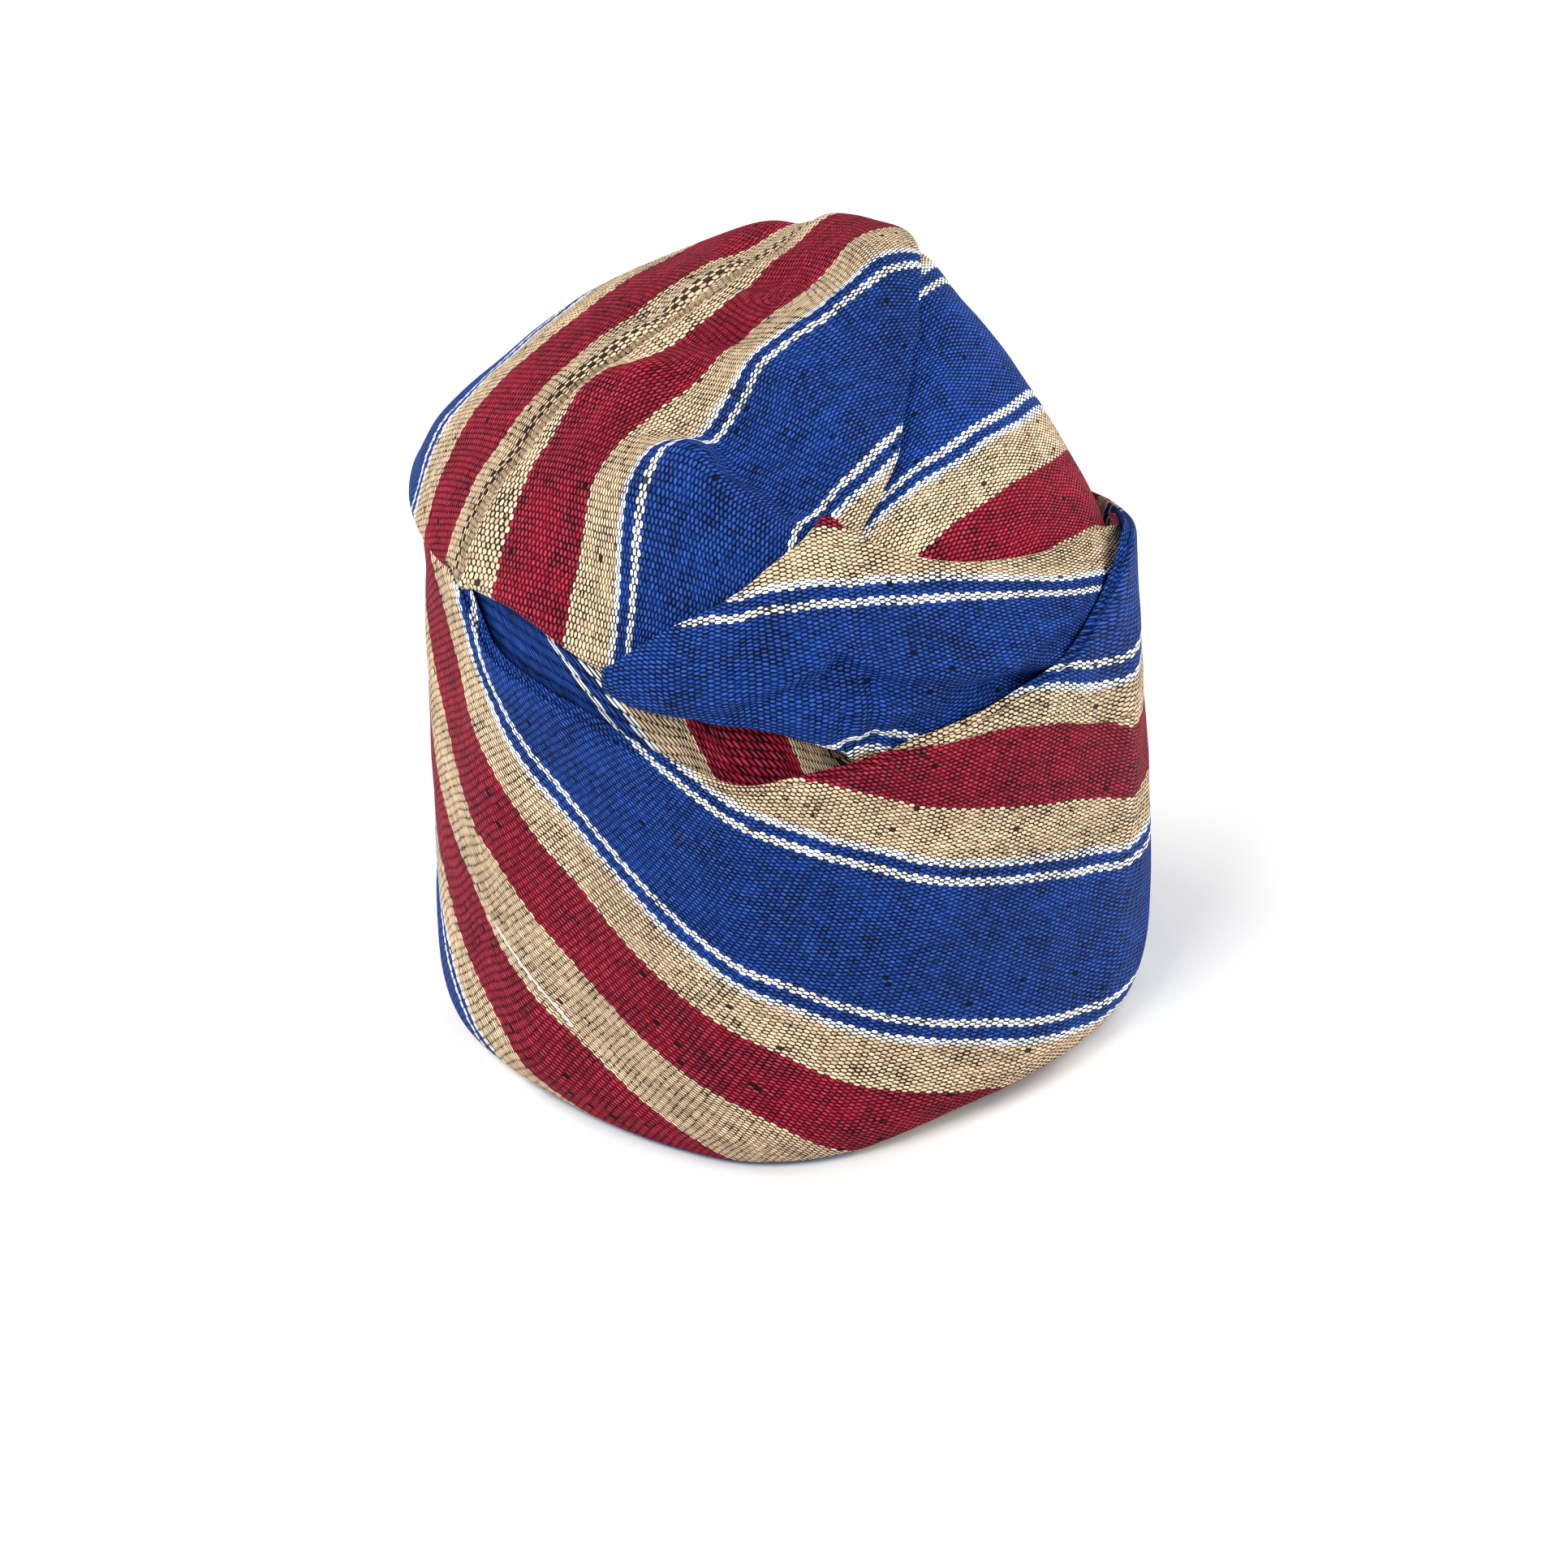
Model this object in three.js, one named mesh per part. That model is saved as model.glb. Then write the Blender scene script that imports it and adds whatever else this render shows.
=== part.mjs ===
// Turban hat wound from one striped cloth: an inner cap, a tall outer band, two crown
// cloths that meet along a crease, and a pointed fold across the front.
// Millimetres, Z up, front towards -Y. Azimuths are in degrees from the front, positive
// towards +X. Radii in the tables are shares of the plan oval, heights are shares of a
// named height.
import * as THREE from "three";

// Size over the band and height of the top
const HALF_WIDTH = 95;
const HALF_DEPTH = 101;
const BAND_HEIGHT = 120;
const CROWN_HEIGHT = 200;

// Cloth walls and the air between layers
const BAND_WALL = 3.4;
const CAP_WALL = 2.2;
const CROWN_WALL = 2;
const FOLD_WALL = 2;
const GAP = 0.7;
const LAYER_GAP = 1.3;

// Rim and hems
const RIM_TURN = 3;
const CAP_FOOT = 15;
const HEM_ROLL = 3.2;
const PANEL_TUCK = 8;

// Mesh density
const RING_STEPS = 72;
const FOLD_STEPS = 40;
const PANEL_STEPS = 34;

// Outer band, one row per azimuth: rim, widest belly and top lip as shares of the oval,
// top as a share of BAND_HEIGHT, lift of the lower edge in millimetres.
const BAND_ROWS = [
  { azimuth: -150, rim: 0.955, belly: 1.0, lip: 0.975, top: 1.05, lift: 0 },
  { azimuth: -120, rim: 0.95, belly: 1.0, lip: 0.98, top: 1.13, lift: 0 },
  { azimuth: -90, rim: 0.945, belly: 0.995, lip: 0.985, top: 1.165, lift: 0 },
  { azimuth: -70, rim: 0.925, belly: 0.987, lip: 0.98, top: 1.15, lift: 0 },
  { azimuth: -62, rim: 0.912, belly: 0.985, lip: 0.97, top: 1.11, lift: 0.5 },
  { azimuth: -55, rim: 0.9, belly: 0.98, lip: 0.965, top: 1.05, lift: 1 },
  { azimuth: -42, rim: 0.888, belly: 0.972, lip: 0.957, top: 1.015, lift: 1 },
  { azimuth: -30, rim: 0.9, belly: 0.976, lip: 0.956, top: 0.985, lift: 0.5 },
  { azimuth: -18, rim: 0.92, belly: 0.996, lip: 0.97, top: 0.945, lift: 0 },
  { azimuth: -7, rim: 0.94, belly: 1.026, lip: 1.0, top: 0.915, lift: 0 },
  { azimuth: 2, rim: 0.935, belly: 1.01, lip: 0.995, top: 0.94, lift: 0 },
  { azimuth: 10, rim: 0.905, belly: 0.987, lip: 0.977, top: 0.955, lift: 0 },
  { azimuth: 20, rim: 0.875, belly: 0.955, lip: 0.95, top: 0.975, lift: 1.5 },
  { azimuth: 30, rim: 0.865, belly: 0.935, lip: 0.93, top: 0.985, lift: 3 },
  { azimuth: 42, rim: 0.872, belly: 0.937, lip: 0.927, top: 1.01, lift: 3.5 },
  { azimuth: 55, rim: 0.885, belly: 0.957, lip: 0.94, top: 1.04, lift: 3 },
  { azimuth: 66, rim: 0.895, belly: 0.98, lip: 0.948, top: 1.09, lift: 2 },
  { azimuth: 78, rim: 0.925, belly: 1.005, lip: 0.955, top: 1.165, lift: 0.5 },
  { azimuth: 90, rim: 0.95, belly: 1.02, lip: 0.955, top: 1.13, lift: 0 },
  { azimuth: 110, rim: 0.965, belly: 1.022, lip: 0.97, top: 1.04, lift: 0 },
  { azimuth: 140, rim: 0.965, belly: 1.012, lip: 0.976, top: 0.99, lift: 0 },
  { azimuth: 180, rim: 0.96, belly: 1.008, lip: 0.98, top: 1.0, lift: 0 },
];

// Band profile: height as a share of the band's height there, swell is the share of the
// way from lip radius to belly radius.
const BAND_PROFILE = [
  { height: 0.12, swell: 1 },
  { height: 0.3, swell: 1 },
  { height: 0.5, swell: 0.8 },
  { height: 0.7, swell: 0.5 },
  { height: 0.88, swell: 0.15 },
];

// Inner cap: inset of its outer face from the band's belly and lean of its top towards
// the axis in millimetres, top as a share of BAND_HEIGHT.
const CAP_ROWS = [
  { azimuth: -150, inset: 4.4, lean: 3, top: 1.15 },
  { azimuth: -115, inset: 4.2, lean: 2.5, top: 1.265 },
  { azimuth: -90, inset: 4.2, lean: 2.5, top: 1.302 },
  { azimuth: -45, inset: 4.2, lean: 3, top: 1.294 },
  { azimuth: -25, inset: 4.4, lean: 6, top: 1.16 },
  { azimuth: -7, inset: 4.6, lean: 10, top: 1.14 },
  { azimuth: 6, inset: 6.4, lean: 8, top: 1.12 },
  { azimuth: 20, inset: 7, lean: 5, top: 1.05 },
  { azimuth: 45, inset: 7.2, lean: 4, top: 1.06 },
  { azimuth: 75, inset: 7.6, lean: 5, top: 1.06 },
  { azimuth: 100, inset: 7.8, lean: 6, top: 1.03 },
  { azimuth: 135, inset: 7.8, lean: 6, top: 0.985 },
  { azimuth: 165, inset: 6.6, lean: 5, top: 1.05 },
];

// Crown, one row per azimuth: hem radius as a share of the oval, then surface heights as
// shares of CROWN_HEIGHT at the hem and at 0.95, 0.85, 0.7, 0.5 and 0.25 of its radius.
const CROWN_ROWS = [
  { azimuth: -150, hem: 0.975, hemTop: 0.69, h95: 0.76, h85: 0.845, h70: 0.92, h50: 0.975, h25: 1.0 },
  { azimuth: -120, hem: 1.015, hemTop: 0.73, h95: 0.775, h85: 0.83, h70: 0.9, h50: 0.965, h25: 0.995 },
  { azimuth: -90, hem: 1.03, hemTop: 0.74, h95: 0.79, h85: 0.84, h70: 0.905, h50: 0.96, h25: 0.992 },
  { azimuth: -60, hem: 1.005, hemTop: 0.735, h95: 0.785, h85: 0.84, h70: 0.895, h50: 0.945, h25: 0.985 },
  { azimuth: -45, hem: 0.985, hemTop: 0.735, h95: 0.79, h85: 0.84, h70: 0.895, h50: 0.94, h25: 0.982 },
  { azimuth: -32, hem: 0.958, hemTop: 0.695, h95: 0.765, h85: 0.83, h70: 0.89, h50: 0.94, h25: 0.98 },
  { azimuth: -20, hem: 0.948, hemTop: 0.67, h95: 0.745, h85: 0.825, h70: 0.89, h50: 0.937, h25: 0.98 },
  { azimuth: -5, hem: 0.94, hemTop: 0.655, h95: 0.725, h85: 0.805, h70: 0.875, h50: 0.927, h25: 0.975 },
  { azimuth: 8, hem: 0.92, hemTop: 0.655, h95: 0.715, h85: 0.79, h70: 0.86, h50: 0.917, h25: 0.972 },
  { azimuth: 20, hem: 0.875, hemTop: 0.655, h95: 0.705, h85: 0.77, h70: 0.84, h50: 0.905, h25: 0.967 },
  { azimuth: 42, hem: 0.855, hemTop: 0.655, h95: 0.7, h85: 0.755, h70: 0.82, h50: 0.89, h25: 0.962 },
  { azimuth: 65, hem: 0.88, hemTop: 0.655, h95: 0.7, h85: 0.752, h70: 0.815, h50: 0.887, h25: 0.963 },
  { azimuth: 90, hem: 0.895, hemTop: 0.645, h95: 0.695, h85: 0.755, h70: 0.828, h50: 0.915, h25: 0.98 },
  { azimuth: 115, hem: 0.915, hemTop: 0.605, h95: 0.685, h85: 0.772, h70: 0.87, h50: 0.952, h25: 0.992 },
  { azimuth: 140, hem: 0.915, hemTop: 0.58, h95: 0.69, h85: 0.81, h70: 0.918, h50: 0.985, h25: 1.005 },
  { azimuth: 165, hem: 0.95, hemTop: 0.65, h95: 0.76, h85: 0.87, h70: 0.96, h50: 1.015, h25: 1.015 },
  { azimuth: 180, hem: 0.96, hemTop: 0.66, h95: 0.76, h85: 0.865, h70: 0.95, h50: 1.0, h25: 1.008 },
];

// Crease where the drape ends over the panel, as a share of the oval along each azimuth.
const CREASE_ROWS = [
  { azimuth: 15, reach: 0.705 },
  { azimuth: 24, reach: 0.585 },
  { azimuth: 33, reach: 0.515 },
  { azimuth: 49, reach: 0.41 },
  { azimuth: 73, reach: 0.34 },
  { azimuth: 90, reach: 0.345 },
  { azimuth: 115, reach: 0.385 },
  { azimuth: 141, reach: 0.535 },
  { azimuth: 153, reach: 0.65 },
];
const CREASE_START = 9;
const CREASE_END = 163;

// Azimuth from which the front fold is tucked behind the band
const FOLD_TUCK = 8;

// Dents and ridges of the crown: a straight run between two plan points given as shares
// of the half width and half depth (forward positive), half width of the fold and lift,
// both in millimetres.
const CROWN_FOLDS = [
  { fromX: -0.86, fromF: 0.4, toX: -0.72, toF: 0.31, spread: 5, lift: -1.6 },
  { fromX: -0.72, fromF: 0.31, toX: -0.37, toF: 0.01, spread: 5, lift: -1.8 },
  { fromX: -0.37, fromF: 0.01, toX: 0.03, toF: -0.48, spread: 5, lift: -1.2 },
  { fromX: -0.3, fromF: 0.42, toX: -0.15, toF: 0.14, spread: 9, lift: -3 },
  { fromX: -0.42, fromF: 0.62, toX: -0.26, toF: 0.58, spread: 9, lift: 2.4 },
  { fromX: -0.26, fromF: 0.58, toX: -0.02, toF: 0.7, spread: 8, lift: 2.6 },
  { fromX: -0.12, fromF: 0.5, toX: 0.06, toF: 0.56, spread: 9, lift: -2.6 },
];

// Front fold, one row per azimuth: heights of its upper and lower edge as shares of
// CROWN_HEIGHT, stand-off of the lower edge from the oval as a share, and puff of the
// middle in millimetres.
const FOLD_ROWS = [
  { azimuth: -27.5, upper: 0.682, lower: 0.662, reach: 0.975, puff: 0.5 },
  { azimuth: -24, upper: 0.71, lower: 0.652, reach: 0.985, puff: 1 },
  { azimuth: -19, upper: 0.74, lower: 0.65, reach: 0.992, puff: 2 },
  { azimuth: -14, upper: 0.76, lower: 0.65, reach: 0.995, puff: 3 },
  { azimuth: -8, upper: 0.785, lower: 0.65, reach: 0.997, puff: 3.5 },
  { azimuth: -2, upper: 0.815, lower: 0.64, reach: 0.995, puff: 3.5 },
  { azimuth: 4, upper: 0.835, lower: 0.62, reach: 0.98, puff: 3.5 },
  { azimuth: 8, upper: 0.845, lower: 0.6, reach: 0.96, puff: 3.5 },
  { azimuth: 12, upper: 0.828, lower: 0.56, reach: 0.938, puff: 3 },
  { azimuth: 20, upper: 0.797, lower: 0.52, reach: 0.908, puff: 3 },
  { azimuth: 28, upper: 0.775, lower: 0.52, reach: 0.89, puff: 3 },
  { azimuth: 36, upper: 0.758, lower: 0.53, reach: 0.885, puff: 3 },
  { azimuth: 45, upper: 0.744, lower: 0.54, reach: 0.89, puff: 3 },
  { azimuth: 54, upper: 0.732, lower: 0.55, reach: 0.9, puff: 2.5 },
  { azimuth: 65, upper: 0.72, lower: 0.57, reach: 0.905, puff: 2 },
  { azimuth: 78, upper: 0.7, lower: 0.6, reach: 0.905, puff: 1 },
  { azimuth: 90, upper: 0.67, lower: 0.61, reach: 0.905, puff: 0.5 },
  { azimuth: 99, upper: 0.65, lower: 0.615, reach: 0.905, puff: 0 },
];

// Cloth colours
const BAND_COLOR = 0x2a4a9a;
const DRAPE_COLOR = 0xa02038;
const PANEL_COLOR = 0x3555a8;
const FOLD_COLOR = 0x2d4fa6;
const CAP_COLOR = 0xcdb68c;

const radians = (degrees) => (degrees * Math.PI) / 180;

// Radius of the plan oval at an azimuth
function oval(azimuth) {
  const s = Math.sin(radians(azimuth)) / HALF_WIDTH;
  const c = Math.cos(radians(azimuth)) / HALF_DEPTH;
  return 1 / Math.hypot(s, c);
}

function place(azimuth, radius, z) {
  const a = radians(azimuth);
  return new THREE.Vector3(radius * Math.sin(a), -radius * Math.cos(a), z);
}

// Smooth curve through knots with slopes taken from the neighbours
function smooth(xs, ys, x) {
  const last = xs.length - 1;
  const at = Math.min(Math.max(x, xs[0]), xs[last]);
  let i = 0;
  while (i < last - 1 && at > xs[i + 1]) i += 1;
  const slope = (k) => {
    const a = Math.max(k - 1, 0);
    const b = Math.min(k + 1, last);
    return (ys[b] - ys[a]) / (xs[b] - xs[a]);
  };
  const span = xs[i + 1] - xs[i];
  const t = (at - xs[i]) / span;
  const t2 = t * t;
  const t3 = t2 * t;
  const start = (2 * t3 - 3 * t2 + 1) * ys[i] + (t3 - 2 * t2 + t) * span * slope(i);
  return start + (3 * t2 - 2 * t3) * ys[i + 1] + (t3 - t2) * span * slope(i + 1);
}

// Value of one column of an open table
function column(rows, key, azimuth) {
  return smooth(rows.map((row) => row.azimuth), rows.map((row) => row[key]), azimuth);
}

// Value of one column of a table that goes right round
function ringColumn(rows, key, azimuth) {
  const turn = ((((azimuth + 180) % 360) + 360) % 360) - 180;
  const before = rows.slice(-3).map((row) => ({ ...row, azimuth: row.azimuth - 360 }));
  const after = rows.slice(0, 3).map((row) => ({ ...row, azimuth: row.azimuth + 360 }));
  return column([...before, ...rows, ...after], key, turn);
}

// Closed mesh from points and triangles, turned so that its faces look outwards
function closedMesh(name, points, triangles, color) {
  let volume = 0;
  for (const [a, b, c] of triangles) {
    volume += points[a].dot(new THREE.Vector3().crossVectors(points[b], points[c]));
  }
  const indices = [];
  for (const [a, b, c] of triangles) {
    if (volume > 0) indices.push(a, b, c);
    else indices.push(a, c, b);
  }
  const geometry = new THREE.BufferGeometry();
  geometry.setAttribute("position", new THREE.Float32BufferAttribute(points.flatMap((p) => p.toArray()), 3));
  geometry.setIndex(indices);
  geometry.computeVertexNormals();
  const material = new THREE.MeshStandardMaterial({ color, roughness: 0.9, metalness: 0 });
  material.name = name;
  const mesh = new THREE.Mesh(geometry, material);
  mesh.name = name;
  return mesh;
}

// Ring of closed cross-sections that all have the same number of points
function ringMesh(name, sections, color) {
  const count = sections[0].length;
  const triangles = [];
  for (let i = 0; i < sections.length; i += 1) {
    const here = i * count;
    const next = ((i + 1) % sections.length) * count;
    for (let j = 0; j < count; j += 1) {
      const k = (j + 1) % count;
      triangles.push([here + j, next + j, next + k], [here + j, next + k, here + k]);
    }
  }
  return closedMesh(name, sections.flat(), triangles, color);
}

// Strip of closed cross-sections, each an outer run followed by the inner run reversed
function stripMesh(name, sections, color) {
  const count = sections[0].length;
  const half = count / 2;
  const end = (sections.length - 1) * count;
  const triangles = [];
  for (let i = 0; i + 1 < sections.length; i += 1) {
    const here = i * count;
    const next = here + count;
    for (let j = 0; j < count; j += 1) {
      const k = (j + 1) % count;
      triangles.push([here + j, next + j, next + k], [here + j, next + k, here + k]);
    }
  }
  for (let j = 0; j + 1 < half; j += 1) {
    const back = count - 1 - j;
    triangles.push([j, j + 1, back - 1], [j, back - 1, back]);
    triangles.push([end + j, end + back, end + back - 1], [end + j, end + back - 1, end + j + 1]);
  }
  return closedMesh(name, sections.flat(), triangles, color);
}

// Cap of open cross-sections that share their first and last point on the axis
function capMesh(name, top, bottom, sections, color) {
  const count = sections[0].length;
  const points = [...sections.flat(), top, bottom];
  const topIndex = points.length - 2;
  const bottomIndex = points.length - 1;
  const triangles = [];
  for (let i = 0; i < sections.length; i += 1) {
    const here = i * count;
    const next = ((i + 1) % sections.length) * count;
    triangles.push([topIndex, next, here]);
    triangles.push([bottomIndex, here + count - 1, next + count - 1]);
    for (let j = 0; j + 1 < count; j += 1) {
      triangles.push([here + j, next + j, next + j + 1], [here + j, next + j + 1, here + j + 1]);
    }
  }
  return closedMesh(name, points, triangles, color);
}

// Points moved sideways off a run of points, to the side that faces away from inside
function offsetRun(run, distance, inside) {
  return run.map((point, i) => {
    const along = new THREE.Vector3().subVectors(run[Math.min(i + 1, run.length - 1)], run[Math.max(i - 1, 0)]);
    const around = new THREE.Vector3(-point.y, point.x, 0).normalize();
    const out = new THREE.Vector3().crossVectors(along, around).normalize();
    if (out.dot(new THREE.Vector3().subVectors(point, inside)) < 0) out.negate();
    return new THREE.Vector3().copy(point).addScaledVector(out, distance);
  });
}

// Outer radius of the band at an azimuth and height
function bandRadius(azimuth, z) {
  const round = oval(azimuth);
  const belly = ringColumn(BAND_ROWS, "belly", azimuth) * round;
  const lip = ringColumn(BAND_ROWS, "lip", azimuth) * round;
  const top = ringColumn(BAND_ROWS, "top", azimuth) * BAND_HEIGHT;
  const heights = [0, ...BAND_PROFILE.map((row) => row.height), 1];
  const swells = [1, ...BAND_PROFILE.map((row) => row.swell), 0];
  return lip + (belly - lip) * smooth(heights, swells, z / top);
}

// Cross-section of the band: tucked lower edge, outer face, rolled lip, inner face
function bandSection(azimuth) {
  const rim = ringColumn(BAND_ROWS, "rim", azimuth) * oval(azimuth);
  const top = ringColumn(BAND_ROWS, "top", azimuth) * BAND_HEIGHT;
  const lift = Math.max(ringColumn(BAND_ROWS, "lift", azimuth), 0);
  const at = (share) => bandRadius(azimuth, share * top);
  const belly = at(0.12);
  const tuck = belly - rim;
  const section = [place(azimuth, rim - RIM_TURN, lift), place(azimuth, rim, lift)];
  section.push(place(azimuth, rim + 0.5 * tuck, lift + 2));
  section.push(place(azimuth, rim + 0.8 * tuck, lift + 6.5));
  for (const { height } of BAND_PROFILE) section.push(place(azimuth, at(height), height * top));
  section.push(place(azimuth, at(0.97), top - 1.2));
  section.push(place(azimuth, at(1) - BAND_WALL / 2, top));
  section.push(place(azimuth, at(1) - BAND_WALL, top - 1.2));
  section.push(place(azimuth, at(0.7) - BAND_WALL, 0.7 * top));
  section.push(place(azimuth, at(0.4) - BAND_WALL, 0.4 * top));
  section.push(place(azimuth, belly - BAND_WALL, 0.12 * top));
  section.push(place(azimuth, rim + 0.4 * tuck - 1, lift + 5));
  section.push(place(azimuth, rim - RIM_TURN, lift + 2.6));
  return section;
}

// Cross-section of the inner cap: a plain wall that leans in at the top
function capSection(azimuth) {
  const inset = ringColumn(CAP_ROWS, "inset", azimuth);
  const lean = ringColumn(CAP_ROWS, "lean", azimuth);
  const top = ringColumn(CAP_ROWS, "top", azimuth) * BAND_HEIGHT;
  const outer = (z) => {
    const rise = Math.max(z - 0.75 * BAND_HEIGHT, 0) / (top - 0.75 * BAND_HEIGHT);
    return bandRadius(azimuth, Math.min(z, 0.9 * BAND_HEIGHT)) - inset - lean * rise;
  };
  const levels = [CAP_FOOT, 0.35 * top, 0.62 * top, 0.8 * top, top];
  const outside = levels.map((z) => place(azimuth, outer(z), z));
  const inside = levels.map((z) => place(azimuth, outer(z) - CAP_WALL, z));
  return [...outside, ...inside.reverse()];
}

// Shift of the crown surface by its dents and ridges
function foldLift(x, forward) {
  let lift = 0;
  for (const fold of CROWN_FOLDS) {
    const fromX = fold.fromX * HALF_WIDTH;
    const fromF = fold.fromF * HALF_DEPTH;
    const runX = fold.toX * HALF_WIDTH - fromX;
    const runF = fold.toF * HALF_DEPTH - fromF;
    const along = ((x - fromX) * runX + (forward - fromF) * runF) / (runX * runX + runF * runF);
    const t = Math.min(Math.max(along, 0), 1);
    const away = Math.hypot(x - fromX - t * runX, forward - fromF - t * runF) / fold.spread;
    lift += fold.lift * Math.exp(-away * away);
  }
  return lift;
}

function hemRadius(azimuth) {
  return ringColumn(CROWN_ROWS, "hem", azimuth) * oval(azimuth);
}

// Point of the crown surface at an azimuth and a share of the hem radius
function crownPoint(azimuth, share) {
  const keys = ["h25", "h50", "h70", "h85", "h95", "hemTop"];
  const heights = keys.map((key) => ringColumn(CROWN_ROWS, key, azimuth) * CROWN_HEIGHT);
  const radius = share * hemRadius(azimuth);
  const point = place(azimuth, radius, 0);
  const z = smooth([-0.25, 0, 0.25, 0.5, 0.7, 0.85, 0.95, 1], [heights[0], CROWN_HEIGHT, ...heights], share);
  const fade = Math.min(1, (1 - share) / 0.08);
  point.z = z + fade * foldLift(point.x, -point.y);
  return point;
}

// Outward normal of the crown surface
function crownNormal(azimuth, share) {
  const inner = crownPoint(azimuth, Math.max(share - 0.02, 0));
  const outer = crownPoint(azimuth, Math.min(share + 0.02, 1));
  const left = crownPoint(azimuth - 2, share);
  const right = crownPoint(azimuth + 2, share);
  const out = new THREE.Vector3().subVectors(outer, inner);
  const side = new THREE.Vector3().subVectors(right, left);
  const normal = new THREE.Vector3().crossVectors(out, side).normalize();
  return normal.z < 0 ? normal.negate() : normal;
}

function crownOffset(azimuth, share, distance) {
  return crownPoint(azimuth, share).addScaledVector(crownNormal(azimuth, share), distance);
}

// Reach of the drape at an azimuth as a share of the hem radius: the hem on the left and
// the crease on the right
function drapeReach(azimuth) {
  if (azimuth <= CREASE_START || azimuth >= CREASE_END) return 1;
  const hem = hemRadius(azimuth) / oval(azimuth);
  const azimuths = [CREASE_START, ...CREASE_ROWS.map((row) => row.azimuth), CREASE_END];
  const reaches = [hem, ...CREASE_ROWS.map((row) => row.reach), hem];
  return Math.min(smooth(azimuths, reaches, azimuth) / hem, 1);
}

// Cross-section of the drape from the axis out to its edge and back underneath
function drapeSection(azimuth) {
  const reach = drapeReach(azimuth);
  const shares = [0.14, 0.3, 0.46, 0.62, 0.76, 0.87, 0.95, 1];
  const outer = shares.map((share) => crownPoint(azimuth, share * reach));
  const under = shares.map((share) => crownOffset(azimuth, share * reach, -CROWN_WALL));
  if (reach < 1) return [...outer, ...under.reverse()];
  const hem = outer[outer.length - 1];
  const radius = hemRadius(azimuth);
  under[under.length - 1] = place(azimuth, radius - CROWN_WALL, hem.z + 0.5);
  hem.z -= HEM_ROLL / 2;
  under[under.length - 1].z -= HEM_ROLL / 2;
  outer[outer.length - 2] = crownPoint(azimuth, 0.965);
  return [...outer, ...under.reverse()];
}

// Cross-section of the panel from under the crease down to its tucked edge
function panelSection(azimuth) {
  const start = Math.max(drapeReach(azimuth) - PANEL_TUCK / hemRadius(azimuth), 0.05);
  const steps = [0, 0.12, 0.28, 0.45, 0.62, 0.78, 0.9, 1];
  const drop = (share) => {
    const past = (share - drapeReach(azimuth)) * hemRadius(azimuth);
    const ease = Math.min(Math.max(past / 10, 0), 1);
    return -(CROWN_WALL + LAYER_GAP) * (1 - 0.75 * ease);
  };
  const shares = steps.map((step) => start + (0.995 - start) * step);
  const outer = shares.map((share) => crownOffset(azimuth, share, drop(share)));
  const under = shares.map((share) => crownOffset(azimuth, share, drop(share) - CROWN_WALL));
  return [...outer, ...under.reverse()];
}

// Share of the hem radius at which the crown surface has a given height
function crownShareAt(azimuth, z) {
  let low = 0;
  let high = 1;
  for (let i = 0; i < 30; i += 1) {
    const middle = (low + high) / 2;
    if (crownPoint(azimuth, middle).z > z) low = middle;
    else high = middle;
  }
  return (low + high) / 2;
}

// Cross-section of the front fold from its upper edge down to the lower one
function foldSection(azimuth) {
  const upper = column(FOLD_ROWS, "upper", azimuth) * CROWN_HEIGHT;
  const lower = column(FOLD_ROWS, "lower", azimuth) * CROWN_HEIGHT;
  const reach = column(FOLD_ROWS, "reach", azimuth) * oval(azimuth);
  const puff = column(FOLD_ROWS, "puff", azimuth);
  const bandTop = ringColumn(BAND_ROWS, "top", azimuth) * BAND_HEIGHT;
  const clear = FOLD_WALL + LAYER_GAP;
  const steps = [0, 0.08, 0.25, 0.42, 0.56, 0.7, 0.82, 0.92, 1];
  const start = crownOffset(azimuth, crownShareAt(azimuth, upper), clear);
  const startRadius = Math.hypot(start.x, start.y);
  const outer = steps.map((step) => {
    const z = start.z + (lower - start.z) * step;
    const share = crownShareAt(azimuth, z);
    const onCrown = crownOffset(azimuth, share, clear);
    const hug = Math.hypot(onCrown.x, onCrown.y);
    const straight = startRadius + (reach - startRadius) * Math.sin((step * Math.PI) / 2);
    const loose = Math.max(hug, straight) + puff * Math.sin(step * Math.PI);
    const past = Math.max(z - bandTop - 6, 0);
    const tucked = bandRadius(azimuth, Math.min(z, bandTop)) - BAND_WALL - GAP + past / 2;
    return place(azimuth, Math.min(step === 1 ? reach : loose, azimuth > FOLD_TUCK ? tucked : loose), z);
  });
  const under = offsetRun(outer, -FOLD_WALL, place(azimuth, 0, 0.4 * BAND_HEIGHT));
  return [...outer, ...under.reverse()];
}

function spread(from, to, steps) {
  return Array.from({ length: steps + 1 }, (_, i) => from + ((to - from) * i) / steps);
}

const turns = spread(-180, 180, RING_STEPS).slice(0, RING_STEPS);
const creaseTurns = spread(CREASE_START + 3, CREASE_END - 3, PANEL_STEPS);
const drapeTurns = [...turns.filter((a) => a <= CREASE_START || a >= CREASE_END), ...creaseTurns];
drapeTurns.sort((a, b) => a - b);

const crownTop = new THREE.Vector3(0, 0, CROWN_HEIGHT + foldLift(0, 0));
const crownUnder = new THREE.Vector3(0, 0, crownTop.z - CROWN_WALL);

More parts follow.
